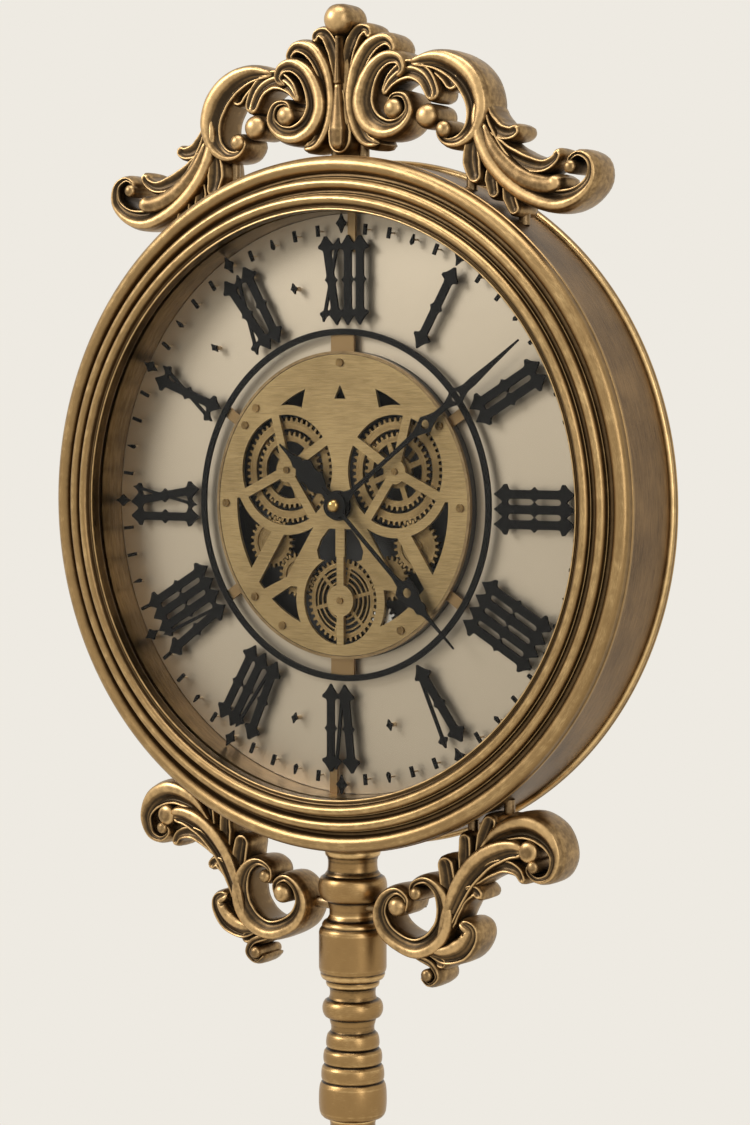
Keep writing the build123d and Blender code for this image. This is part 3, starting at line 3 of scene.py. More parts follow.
import bmesh
import bpy
import numpy as np
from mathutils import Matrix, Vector


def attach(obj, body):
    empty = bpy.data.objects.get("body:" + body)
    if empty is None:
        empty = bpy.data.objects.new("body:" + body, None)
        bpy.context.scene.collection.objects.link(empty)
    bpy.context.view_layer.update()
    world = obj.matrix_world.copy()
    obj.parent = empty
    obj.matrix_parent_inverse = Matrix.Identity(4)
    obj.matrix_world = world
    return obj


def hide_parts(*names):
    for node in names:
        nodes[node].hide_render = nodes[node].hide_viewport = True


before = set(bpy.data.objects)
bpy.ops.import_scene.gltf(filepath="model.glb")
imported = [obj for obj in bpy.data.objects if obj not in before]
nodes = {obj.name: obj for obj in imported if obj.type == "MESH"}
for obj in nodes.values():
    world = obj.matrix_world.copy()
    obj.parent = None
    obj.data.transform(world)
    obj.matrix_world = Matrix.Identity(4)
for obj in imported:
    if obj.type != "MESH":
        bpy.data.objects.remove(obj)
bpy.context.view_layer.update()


# Base: four felt pads, a stepped cast plinth and a flat iron weight in its pocket.
# Cast brass-plated iron, patinated dark and rubbed bright on the edges, with painted shade on its shoulders
# and in its hollows; the pads are glued felt.
class Wire:
    """One shader socket; sums written on it add their Math nodes."""

    def __init__(self, tree, socket=None):
        self.tree = tree
        self.socket = socket

    def node(self, kind, settings=None, sockets=None, out=0):
        """Adds a node: its settings first, then the values or wires of its sockets."""
        made = self.tree.nodes.new("ShaderNode" + kind)
        for key, value in (settings or {}).items():
            setattr(made, key, value)
        for key, value in (sockets or {}).items():
            if isinstance(value, Wire):
                self.tree.links.new(value.socket, made.inputs[key])
            else:
                made.inputs[key].default_value = value
        return Wire(self.tree, made.outputs[out] if len(made.outputs) else None)

    def sum(self, operation, first, second=0.0):
        return self.node("Math", {"operation": operation}, {0: first, 1: second})

    def split(self):
        """The three numbers of this vector, as three wires."""
        parts = self.node("SeparateXYZ", None, {0: self}).socket.node.outputs
        return [Wire(self.tree, part) for part in parts]

    def __add__(self, other):
        return self.sum("ADD", self, other)

    __radd__ = __add__

    def __mul__(self, other):
        return self.sum("MULTIPLY", self, other)

    __rmul__ = __mul__

    def __sub__(self, other):
        return self.sum("SUBTRACT", self, other)

    def __rsub__(self, other):
        return self.sum("SUBTRACT", other, self)

    def __pow__(self, other):
        return self.sum("POWER", self, other)

    def __rpow__(self, other):
        return self.sum("POWER", other, self)

    def ramp(self, low, high, start=0.0, end=1.0):
        """Smooth step from start to end as this value goes from low to high."""
        return self.node("MapRange", {"interpolation_type": "SMOOTHSTEP"},
                         {0: self, 1: low, 2: high, 3: start, 4: end})

    def blend(self, first, second):
        """Colour between two, this value being the share of the second."""
        return self.node("Mix", {"data_type": "RGBA"}, {0: self, 6: first, 7: second}, out=2)


def paint(red, green, blue):
    """A screen colour of 0 to 255 as the linear colour that Blender keeps."""
    def linear(level):
        level /= 255
        return level / 12.92 if level <= 0.04045 else ((level + 0.055) / 1.055) ** 2.4
    return linear(red), linear(green), linear(blue), 1.0


def material(name):
    """An empty node material, and a wire to start its nodes from."""
    made = bpy.data.materials.new(name)
    made.use_nodes = True
    made.node_tree.nodes.clear()
    return made, Wire(made.node_tree)


def surface(start, shader):
    start.node("OutputMaterial", None, {"Surface": shader})


def place(start):
    """Object coordinates, which are metres in the clock's own frame."""
    return start.node("TexCoord", None, None, out=3)


def noise(start, vector, scale, detail=3.0, rough=0.5):
    return start.node("TexNoise", None, {
        "Vector": vector, "Scale": scale, "Detail": detail, "Roughness": rough})


def stretched(start, vector, scale):
    return start.node("VectorMath", {"operation": "MULTIPLY"}, {0: vector, 1: scale})


def antique_brass(name, dark, mid, bright, grain=(1, 1, 1), shine=0.34, around=None,
                  flank_shade=None, reach=0.012):
    """Patinated brass, bright where the wear attribute marks an edge and dark in hollows from patina;
    painted shade darkens hollows and gaps between parts (ambient occlusion) and the faces that the side
    mask picks.
    """
    made, start = material(name)
    where = place(start)
    if around:
        where = around(start, where)
    wear = start.node("Attribute", {"attribute_name": "wear"}, None, out=2)
    shade = start.node("AmbientOcclusion", {"samples": 6}, {"Distance": reach}, out=1)
    mottle = noise(start, place(start), 90.0, 4.0, 0.6)
    streak = noise(start, stretched(start, where, grain), 260.0, 3.0, 0.6)
    level = wear + (mottle - 0.5) * 0.7 + (streak - 0.5) * 0.8
    # Painted shade: the side mask darkens the faces that it picks, towards the dark colour.
    if flank_shade:
        level = level - flank_shade(start) * 0.5
    base = level.ramp(-0.75, 0.15).blend(dark, mid)
    base = level.ramp(0.20, 1.05).blend(base, bright)
    # Painted shade, with the patina of hollows: ambient occlusion darkens hollows and gaps between parts
    # towards the dark colour.
    shade_and_patina = (shade + (mottle - 0.5) * 0.25).ramp(0.10, 0.70, 1.0, 0.0)
    base = (shade_and_patina * 0.85).blend(base, dark)
    rough = streak * 0.16 + (mottle - 0.5) * 0.14 + shade_and_patina * 0.20 + (shine - 0.08)
    bump = start.node("Bump", None, {"Strength": 0.10, "Distance": 0.0008, "Height": streak + mottle * 0.6})
    shader = start.node("BsdfPrincipled", None, {
        "Base Color": base, "Metallic": 1.0, "Roughness": rough, "Normal": bump})
    surface(start, shader)
    return made


ANTIQUE_DARK = paint(54, 44, 34)
ANTIQUE_MID = paint(154, 123, 80)
ANTIQUE_BRIGHT = paint(236, 200, 142)


def lean(start):
    """How squarely the surface faces the case's width, depth and height: three wires, 0 to 1."""
    normal = start.node("NewGeometry", None, None, out=1)
    return [start.sum("ABSOLUTE", part) for part in normal.split()]


def shoulder(start):
    """Painted shade on the shoulders, tops and undersides of turned work: faces that look up or down, as a
    mask from 0 to 1.
    """
    return lean(start)[2].ramp(0.25, 0.85)


COLUMN_MIDDLE_R = 0.02


def around_column(start, where):
    """Coordinates that run round the column: angle, nothing, height."""
    x, y, z = where.split()
    angle = start.sum("ARCTAN2", x, y)
    return start.node("CombineXYZ", None, {0: angle * COLUMN_MIDDLE_R, 1: 0.0, 2: z})


# Painted shade on the turned brass: shoulders, tops and undersides darker, and hollows darker by ambient
# occlusion.
turned_brass = antique_brass("turned_antique_brass", ANTIQUE_DARK, ANTIQUE_MID, ANTIQUE_BRIGHT,
                             (1, 1, 9), 0.34, around_column, shoulder)


def age(obj, rounds=8, scale=2200.0):
    """Stores how far each point stands out from its surroundings, as the wear attribute."""
    mesh = obj.data
    count = len(mesh.vertices)
    points = np.zeros(count * 3)
    mesh.vertices.foreach_get("co", points)
    points = points.reshape(-1, 3)
    normals = np.zeros(count * 3)
    mesh.vertices.foreach_get("normal", normals)
    normals = normals.reshape(-1, 3)
    ends = np.zeros(len(mesh.edges) * 2, int)
    mesh.edges.foreach_get("vertices", ends)
    ends = ends.reshape(-1, 2)
    both = np.concatenate([ends, ends[:, ::-1]])
    share = np.maximum(np.bincount(both[:, 0], minlength=count), 1)[:, None]
    soft = points.copy()
    for _ in range(rounds):
        total = np.stack([np.bincount(both[:, 0], soft[both[:, 1], k], count) for k in range(3)], 1)
        soft = 0.4 * soft + 0.6 * total / share
    proud = ((points - soft) * normals).sum(1) * scale
    wear = mesh.attributes.new("wear", "FLOAT", "POINT")
    wear.data.foreach_set("value", np.clip(proud, -1, 1).astype(np.float32))


def finished(obj, body, finish, replaced=()):
    """Gives a piece its material, ties it to its body and hides the CAD nodes that it replaces."""
    obj.data.materials.clear()
    obj.data.materials.append(finish)
    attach(obj, body)
    if replaced:
        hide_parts(*replaced)
    return obj


def mesh_object(name, points, faces, sharp=None):
    mesh = bpy.data.meshes.new(name)
    mesh.from_pydata([tuple(p) for p in points], [], faces)
    mesh.update()
    for face in mesh.polygons:
        face.use_smooth = True
    obj = bpy.data.objects.new(name, mesh)
    bpy.context.scene.collection.objects.link(obj)
    if sharp:
        mesh.set_sharp_from_angle(angle=math.radians(sharp))
    return obj


def arc(start, bulge, end, count=8):
    """Points from start to end on a half-wave that swells by the bulge to its left."""
    (x0, y0), (x1, y1) = start, end
    length = math.hypot(x1 - x0, y1 - y0)
    nx, ny = -(y1 - y0) / length, (x1 - x0) / length
    made = []
    for i in range(count + 1):
        t = i / count
        swell = bulge * math.sqrt(max(0.0, 1 - (2 * t - 1) ** 2))
        made.append((x0 + (x1 - x0) * t + nx * swell, y0 + (y1 - y0) * t + ny * swell))
    return made


def dense(profile, step):
    """The same outline with no gap between points longer than the step."""
    made = [profile[0]]
    for a, b in zip(profile, profile[1:]):
        parts = max(1, round(math.dist(a, b) / step))
        made += [(a[0] + (b[0] - a[0]) * i / parts, a[1] + (b[1] - a[1]) * i / parts)
                 for i in range(1, parts + 1)]
    return made


SHARP_EDGE = 35


def lathe(name, profile, centre, axis, steps=192, step=1.2):
    """Turned piece in millimetres: (radius, distance along the axis) spun about z or y."""
    outline = dense(profile + profile[:1], step)[:-1]
    points, faces = [], []
    for k in range(steps):
        turn = 2 * math.pi * k / steps
        c, s = math.cos(turn), math.sin(turn)
        for radius, along in outline:
            spot = (radius * c, radius * s, along) if axis == "z" else (radius * c, along, radius * s)
            points.append([(centre[i] + spot[i]) / 1000 for i in range(3)])
    size = len(outline)
    for k in range(steps):
        here, there = k * size, (k + 1) % steps * size
        for i in range(size):
            j = (i + 1) % size
            faces.append((here + i, here + j, there + j, there + i))
    obj = mesh_object(name, points, faces, SHARP_EDGE)
    bm = bmesh.new()
    bm.from_mesh(obj.data)
    bmesh.ops.recalc_face_normals(bm, faces=bm.faces)
    bm.to_mesh(obj.data)
    bm.free()
    age(obj)
    return obj


plinth_profile = [(6, 62), (38, 62), (39.5, 61)] + arc((42, 58), -1.2, (42, 52), 5)
plinth_profile += arc((43, 51), -9.5, (96, 33), 14) + [(96.5, 31.6), (98, 31.2), (138, 28)]
plinth_profile += arc((140, 27.6), 3.4, (152, 21), 9) + [(153.0, 18.4), (156, 18)]
plinth_profile += arc((159, 18), 4.6, (161.5, 4.2), 12) + [(131, 4), (131, 21), (6, 21)]
plinth = lathe("base_plinth_cast", plinth_profile, (0, 0, 0), "z")
finished(plinth, "stand", turned_brass, ["base_plinth"])


def grainy(name, dark, light, grain, rough, relief, detail=2.0, ragged=0.5, more=None):
    """A matt finish with fine grain: paint, moulded plastic or felt."""
    made, start = material(name)
    grit = noise(start, place(start), grain, detail, ragged)
    least, spread = rough
    strength, deep = relief
    sockets = {
        "Base Color": grit.blend(dark, light), "Roughness": grit * spread + least if spread else least,
        "Normal": start.node("Bump", None, {"Strength": strength, "Distance": deep, "Height": grit})}
    surface(start, start.node("BsdfPrincipled", None, {**sockets, **(more or {})}))
    return made


def dress(finish, *names):
    """Gives CAD nodes, which keep their own meshes, a finish."""
    for name in names:
        nodes[name].data.materials.clear()
        nodes[name].data.materials.append(finish)


painted_iron = grainy("painted_iron", paint(38, 37, 36), paint(60, 58, 56), 900.0,
                      (0.55, 0.2), (0.25, 0.0006))
dress(painted_iron, "base_weight")
felt = grainy("pressed_felt", paint(24, 23, 22), paint(52, 50, 47), 2600.0,
              (0.95, 0.0), (0.5, 0.0006), 3.0, 0.7)
dress(felt, "base_pads", "glass_gasket")

# Column: four hollow turned sections stacked on a steel tie rod with a washer and nut at each end.
# Turned and plated brass tube, patinated, with painted shade on its shoulders and in its hollows; each
# joint is a square shoulder pulled tight by the rod.
COLUMN = (
    ("column_collar", [(19.5, 1053.9), (20, 1049)] + arc((20, 1048), 0.9, (19.0, 1043), 5)
     + [(18.1, 1040), (18.1, 1036), (18.6, 1032.5), (20.4, 1030)]
     + arc((20.6, 1029.5), 5.6, (18.8, 1010), 12)
     + [(17.9, 1007), (17.1, 1003.5), (17.1, 999.8), (6, 999.8), (6, 1053.9)]),
    ("upper_column", [(6, 999.8), (17.1, 999.8), (18.6, 997)] + arc((19.5, 996), 1.0, (22.6, 991.5), 5)
     + [(24.3, 989.2), (24.9, 987), (24.9, 961), (24.4, 958.8)] + arc((23.6, 957.4), 0.9, (21.4, 952.5), 5)
     + arc((19.4, 951.8), 0.5, (19.0, 947.6), 4) + arc((17.6, 946.5), -0.8, (17.6, 938.5), 5)
     + arc((17.8, 938), 4.8, (17.4, 923.5), 10) + [(16.8, 921)] + arc((16.6, 920), -0.5, (16.2, 914), 4)
     + arc((17.2, 913), 1.7, (18.6, 901.6), 7) + arc((19.8, 900.6), 1.6, (20.4, 889.8), 7)
     + arc((21.4, 888.8), 1.4, (22.2, 877.2), 7) + arc((23.3, 876), 1.7, (23.4, 852), 10)
     + [(22.0, 850.6), (17.3, 848.8), (6, 848.8)]),
    ("middle_column", [(6, 848.8), (17.3, 848.8), (16.6, 845), (16.8, 841)]
     + arc((17.2, 840.5), 2.4, (17.2, 831.5), 7) + [(15.8, 829), (15.4, 826)]
     + arc((15.6, 824), 1.4, (20.8, 520), 24) + [(20.2, 517), (17.6, 514.8)]
     + arc((17.6, 514), 2.3, (17.6, 506), 7) + [(18.6, 504), (20, 500), (20, 470.8), (6, 470.8)]),
    ("lower_column", [(6, 470.8), (20, 470.8)] + arc((20.0, 469.5), 6.3, (20.0, 446), 11)
     + [(18.6, 442), (17.5, 439)] + arc((17.6, 438), 2.3, (17.6, 431), 7) + [(16.2, 429), (16, 427)]
     + arc((16.2, 425), 1.2, (19.2, 146), 22) + arc((20.6, 145), 1.6, (21.0, 133), 7)
     + arc((22.6, 132), 1.8, (23.2, 109), 9) + [(20.5, 106.5), (18.5, 104)]
     + arc((18.8, 101), 5.2, (18.8, 86), 9)
     + [(19.0, 82), (21.6, 78)] + arc((22, 75), -1.4, (30, 62.2), 6) + [(6, 62.2)]),
)
for name, profile in COLUMN:
    section = lathe(name + "_turned", profile, (0, 0, 0), "z", 128, 0.9)
    finished(section, "stand", turned_brass, [name])

# Case: a rolled sheet drum with a brushed side, its moulded bezel in front and a rim round the back.
# The side is brushed around the case; bezel and rim are spun brass, patinated in their grooves, with
# painted shade in the grooves and on the flanks of their rolls.
HEAD_Z, AXIS_DEPTH = 1300.0, 32.5
HEAD = (0.0, -AXIS_DEPTH, HEAD_Z)


def around_point(x_mm, z_mm, reach_mm):
    """Coordinates that run round an axis along the depth: angle, depth, distance from the axis."""
    def turned_about(start, where):
        x, y, z = where.split()
        x = x - x_mm / 1000
        z = z - (HEAD_Z + z_mm) / 1000
        angle = start.sum("ARCTAN2", x, z)
        reach = start.sum("SQRT", x * x + z * z)
        return start.node("CombineXYZ", None, {0: angle * (reach_mm / 1000), 1: y, 2: reach})
    return turned_about


BEZEL_MIDDLE_R = 240
around_dial = around_point(0, 0, BEZEL_MIDDLE_R)


def ring_flank_shade(start):
    """Painted shade on the sides of the rings and of the castings, which don't face the front or the back:
    a mask from 0 to 1.
    """
    return lean(start)[1].ramp(0.45, 0.97, 1.0, 0.0)


# Painted shade on the spun brass: flanks of the rolls darker, and grooves darker by ambient occlusion.
bezel_brass = antique_brass(
    "spun_antique_brass", paint(88, 70, 48), paint(150, 122, 82), paint(232, 198, 142),
    (0.9, 9, 9), 0.33, around_dial, ring_flank_shade)

bezel_profile = [(247, 4), (249.2, 4), (250, 3.2), (250, 1.4), (249.4, 0.6)]
bezel_profile += arc((249.4, 0.2), 6.8, (236.8, -1.6), 16) + arc((236.4, -1.6), -0.8, (234.0, -4.0), 5)
bezel_profile += arc((233.6, -4.2), 5.8, (225.0, -5.4), 13) + arc((224.6, -5.4), -0.8, (222.6, -7.8), 5)
bezel_profile += arc((222.2, -8.0), 5.2, (214.4, -8.8), 12) + arc((214.0, -8.6), -0.6, (212.6, -8.8), 3)
bezel_profile += arc((212.4, -8.8), 1.3, (210.7, -8.4), 5)
bezel_profile += [(210.5, -7.4), (210.5, -2), (216, -2), (216, 4)]
bezel = lathe("bezel_ring_spun", bezel_profile, HEAD, "y", 320, 0.7)
finished(bezel, "stand", bezel_brass, ["bezel_ring"])

rim_profile = [(245.5, 57.4)] + arc((248.2, 57.4), -1.0, (250.2, 61.0), 5)
rim_profile += arc((250.2, 61.4), -1.0, (248.8, 65), 5)
rim_profile += [(238.5, 65), (238.5, 60), (245.5, 60)]
rear_rim = lathe("rear_rim_spun", rim_profile, HEAD, "y", 256, 0.8)
finished(rear_rim, "stand", bezel_brass, ["rear_rim"])


def brushed(name, dark, light, grain, around=None, shine=0.34, metallic=1.0, depth=0.12):
    """Brushed sheet: fine streaks along one way of its coordinates, with slower clouds of tone."""
    made, start = material(name)
    where = place(start)
    if around:
        where = around(start, where)
    fine = noise(start, stretched(start, where, grain), 700.0, 2.0, 0.7)
    coarse = noise(start, stretched(start, where, grain), 90.0, 3.0, 0.6)
    cloud = noise(start, place(start), 22.0, 3.0, 0.5)
    tone = (fine * 0.5 + coarse * 0.5 + (cloud - 0.5) * 0.35).ramp(0.30, 0.70)
    bump = start.node("Bump", None, {"Strength": depth, "Distance": 0.0006, "Height": fine + coarse})
    surface(start, start.node("BsdfPrincipled", None, {
        "Base Color": tone.blend(dark, light), "Metallic": metallic,
        "Roughness": fine * 0.14 + coarse * 0.10 + (shine - 0.12), "Normal": bump}))
    return made


case_side = brushed("brushed_case_side", paint(80, 62, 42), paint(142, 114, 78),
                    (0.7, 14, 14), around_dial, 0.38)
drum_profile = [(233, 4), (247, 4), (247, 57.2), (245.5, 57.5), (245.5, 60), (229, 60), (229, 58.5),
                (244, 58.5), (244, 5.5), (233, 5.5)]
drum = lathe("case_drum_rolled", drum_profile, HEAD, "y", 256, 3.0)
finished(drum, "stand", case_side, ["case_drum"])

bronze = brushed("satin_bronze", paint(112, 92, 66), paint(162, 136, 100), (0.9, 6, 6), around_dial, 0.34)
dress(bronze, "dial_wall", "ornament_pegs", "plate_trim")

# Back and inner sheet: a cover with a hinged door, the dial's carrier and the movement's drum.
# Pressed steel sheet, painted satin black; zinc-plated screws, pin and pillars hold it together.
made, start = material("satin_black_sheet")
grit = noise(start, place(start), 1400.0, 2.0)
cloud = noise(start, place(start), 30.0)
surface(start, start.node("BsdfPrincipled", None, {
    "Base Color": cloud.blend(paint(30, 28, 27), paint(46, 43, 41)), "Roughness": grit * 0.12 + 0.42,
    "Normal": start.node("Bump", None, {"Strength": 0.12, "Distance": 0.0004, "Height": grit})}))
dress(made, "back_cover", "access_door", "dial_carrier", "movement_drum", "back_plate")

bright_steel = brushed("bright_steel", paint(150, 146, 140), paint(206, 202, 196), (1, 1, 1), None, 0.28)
dress(bright_steel, "case_screws", "drum_screws", "door_hinge_pin", "plate_pillars",
      "tie_rod", "tie_nuts", "drive_motor", "motor_pinion")
screw_brass = brushed("aged_screw_brass", paint(84, 66, 42), paint(146, 118, 78), (1, 1, 1), None, 0.30)
dress(screw_brass, "plate_screws", "wheel_studs")

# Dial: a flat champagne mirror ring on a sheet carrier, with black furniture floating in front on posts.
# The mirror is tinted glass silvered behind; numerals, marks and ring are cut steel, painted satin black.
made, start = material("champagne_mirror")
where = place(start)
wave = noise(start, where, 9.0, 2.0)
dust = noise(start, where, 420.0, 3.0)
surface(start, start.node("BsdfPrincipled", None, {
    "Base Color": wave.blend(paint(190, 176, 157), paint(180, 166, 147)), "Metallic": 1.0,
    "Roughness": dust * 0.06 + 0.40,
    "Normal": start.node("Bump", None, {"Strength": 0.05, "Distance": 0.002, "Height": wave})}))
dress(made, "mirror_dial")

black_paint = grainy("satin_black_paint", paint(11, 10, 9), paint(19, 17, 15), 1500.0, (0.46, 0.14),
                     (0.18, 0.0003), more={"Specular IOR Level": 0.10})
dress(black_paint, "chapter_ring", "hour_diamonds", "minute_marks", "hour_numerals",
      "hour_hand", "minute_hand", "second_hand")

# Posts, tabs and stays: what holds the floating furniture off the mirror, one bar or pin to each mark.
# Bronze strip in front; the pins behind it are drawn wire, in the mirror's own champagne.
made, start = material("bronze_tabs_champagne_posts")
depth = place(start).split()[1] * 1000
TAB_BACK = 21.0 - AXIS_DEPTH
behind = depth.ramp(TAB_BACK, TAB_BACK + 0.8)
surface(start, start.node("BsdfPrincipled", None, {
    "Base Color": behind.blend(paint(140, 114, 80), paint(192, 174, 148)), "Metallic": 1.0,
    "Roughness": 0.36}))
dress(made, "dial_posts")

# Movement: a brushed skeleton plate over a train of wheels, all in one dark drum.
# Plate and wheels are stamped brass; the wheels turn on steel studs behind the plate's windows.
movement_brass = brushed("brushed_movement_brass", paint(132, 110, 74), paint(176, 150, 106),
                         (1.0, 1.0, 16), None, 0.38, 0.85)
dress(movement_brass, "front_plate", "lower_bridge")


def grooved(name, x_mm, z_mm, reach_mm):
    """Wheel brass, turned on its face: fine rings about the wheel's own centre."""
    return brushed(name, paint(98, 78, 48), paint(158, 132, 90), (0.8, 1, 22),
                   around_point(x_mm, z_mm, reach_mm), 0.36, 0.9, 0.35)


WHEELS = (
    ("left_ring", -47.5, 25.0, ("left_ring_gear", "left_inner_gear")),
    ("right_ring", 47.5, 25.0, ("right_ring_gear", "right_inner_gear")),
    ("lower", 0.0, -69.0, ("lower_gear",)),
    ("left_idler", -63.7, -28.1, ("left_idler_gear",)),
    ("right_idler", 63.7, -28.1, ("right_idler_gear",)),
    ("left_link", -40.8, -51.8, ("left_link_gear",)),
    ("right_link", 40.8, -51.8, ("right_link_gear",)),
)
WHEEL_MIDDLE_R = 20
for name, x, z, names in WHEELS:
    dress(grooved("grooved_brass_" + name, x, z, WHEEL_MIDDLE_R), *names)
polished = brushed("polished_brass", paint(176, 142, 84), paint(206, 172, 110),
                   (1, 1, 1), None, 0.24, 1.0, 0.04)
dress(polished, "center_cap")
plastic = grainy("moulded_black_plastic", paint(26, 26, 27), paint(42, 42, 43), 1100.0,
                 (0.5, 0.2), (0.25, 0.0004))
dress(plastic, "hand_movement", "setting_knob")
made, start = material("cell_jacket")
grit = noise(start, place(start), 60.0, 2.0)
surface(start, start.node("BsdfPrincipled", None, {
    "Base Color": grit.blend(paint(70, 86, 104), paint(84, 100, 118)), "Metallic": 0.4, "Roughness": 0.35}))
dress(made, "movement_cell")

# Front glass: a shallow domed pane held by the bezel's rebate against a soft gasket.
# Clear float glass, slumped over a mould; it shows soft reflections near its edge.
made, start = material("domed_glass")
rim = start.node("LayerWeight", None, {"Blend": 0.30}, out=1)
shine = start.node("BsdfPrincipled", None, {
    "Base Color": (1, 1, 1, 1), "Metallic": 1.0, "Roughness": 0.03})
clear = start.node("BsdfTransparent", None, {"Color": (0.96, 0.965, 0.96, 1)})
mixed = start.node("MixShader", None, {0: rim ** 4.0 * 0.5 + 0.006, 1: clear, 2: shine})
surface(start, mixed)
SIGHT_R, GLASS_R = 210.5, 215.5
GLASS_FRONT, GLASS_BACK, GLASS_RISE = -1.0, 2.0, 8.0
DOME_RINGS = 24
PINHOLE_R = 0.05
front = [(SIGHT_R * k / DOME_RINGS, GLASS_FRONT - GLASS_RISE * (1 - (k / DOME_RINGS) ** 2))
         for k in range(DOME_RINGS + 1)]
front[0] = (PINHOLE_R, front[0][1])
back = [(reach, depth + GLASS_BACK - GLASS_FRONT) for reach, depth in reversed(front)]
pane = lathe("front_glass_dome", front + [(GLASS_R, GLASS_FRONT), (GLASS_R, GLASS_BACK)] + back,
             HEAD, "y", 128, 12.0)
finished(pane, "stand", made, ["front_glass"])

# Crown and brackets: five scroll castings pegged to the case, mirrored left and right, with a ball finial.
# Lost-wax brass with hollow leaves, rolled rims and ball eyes, patinated dark and rubbed back, with painted
# shade on their sides and in their hollows.
# Each line names one scroll, leaf or eye; the four lists are drawn in millimetres from the dial's centre.
ORNAMENT_FRONT, ORNAMENT_DEPTH = 17.0, 26.0


def smooth_line(points, count):
    """Evenly spaced points on a smooth curve through a few points."""
    knots = np.array(points, float)
    stops = np.concatenate([[0], np.cumsum(np.sqrt(np.linalg.norm(np.diff(knots, axis=0), axis=1)))])
    heading = np.gradient(knots, stops, axis=0)
    t = np.linspace(0, stops[-1], 12 * len(knots))
    i = np.clip(np.searchsorted(stops, t, side="right") - 1, 0, len(stops) - 2)
    gap = (stops[i + 1] - stops[i])[:, None]
    s = (t - stops[i])[:, None] / gap
    fine = ((2 * s ** 3 - 3 * s ** 2 + 1) * knots[i] + (s ** 3 - 2 * s ** 2 + s) * gap * heading[i]
            + (3 * s ** 2 - 2 * s ** 3) * knots[i + 1] + (s ** 3 - s ** 2) * gap * heading[i + 1])
    run = np.concatenate([[0], np.cumsum(np.linalg.norm(np.diff(fine, axis=0), axis=1))])
    even = np.linspace(0, run[-1], count)
    return np.stack([np.interp(even, run, fine[:, k]) for k in (0, 1)], 1), run[-1]


def step_up(low, high, value):
    s = np.clip((value - low) / (high - low), 0, 1)
    return s * s * (3 - 2 * s)


def hollow_relief(edge, across, half, kind):
    """Height of a band's face in millimetres, from the distance to its edge and the place across."""
    deep = np.minimum(2.6, 0.40 * half)
    round_off = -1.8 * (1 - np.minimum(edge / 1.3, 1)) ** 2
    rim = 0.7 * np.exp(-((edge - 1.4) / 1.0) ** 2)
    hollow = -deep * step_up(1.7, 1.7 + 0.75 * half, edge)
    place_mm = across * 2 * half
    if kind == "dome":
        return round_off + 0.75 * half * np.sqrt(1 - (1 - np.minimum(edge / half, 1)) ** 2)
    if kind == "leaf":
        crease = 0.35 * deep * np.exp(-((across - 0.5) * 2 * half / 0.9) ** 2) * step_up(2.0, 4.0, edge)
        return round_off + rim + hollow + crease
    if kind == "double":
        rib = np.exp(-((place_mm - 0.90 * half) / 1.1) ** 2) * step_up(1.5, 3.5, edge)
        return round_off + rim + hollow + rib * (deep + 0.6)
    roll = 0.56 * 2 * half
    swell = 0.30 * half + 1.0
    bulge = swell * np.sqrt(np.clip(np.sin(np.pi * np.clip(place_mm / roll, 0, 1)), 0, 1))
    lip = 0.5 * np.exp(-((place_mm - roll - 1.0) / 0.8) ** 2) * step_up(0.5, 2.0, edge)
    groove = -deep * step_up(roll + 1.2, roll + 1.2 + 0.28 * half, place_mm)
    groove = groove * step_up(1.4, 1.4 + 0.35 * half, edge)
    far_rim = rim * step_up(roll, roll + 1.5, place_mm)
    return round_off + np.where(place_mm < roll, bulge, 0) + lip + groove + far_rim


# How far the sides stand out from the face's outline, at each distance behind it
SIDE_SWELL = ((2.8, 0.5), (6.0, 0.8), (13.0, 0.9), (21.0, 0.5), (25.0, -0.2), (ORNAMENT_DEPTH, -1.2))


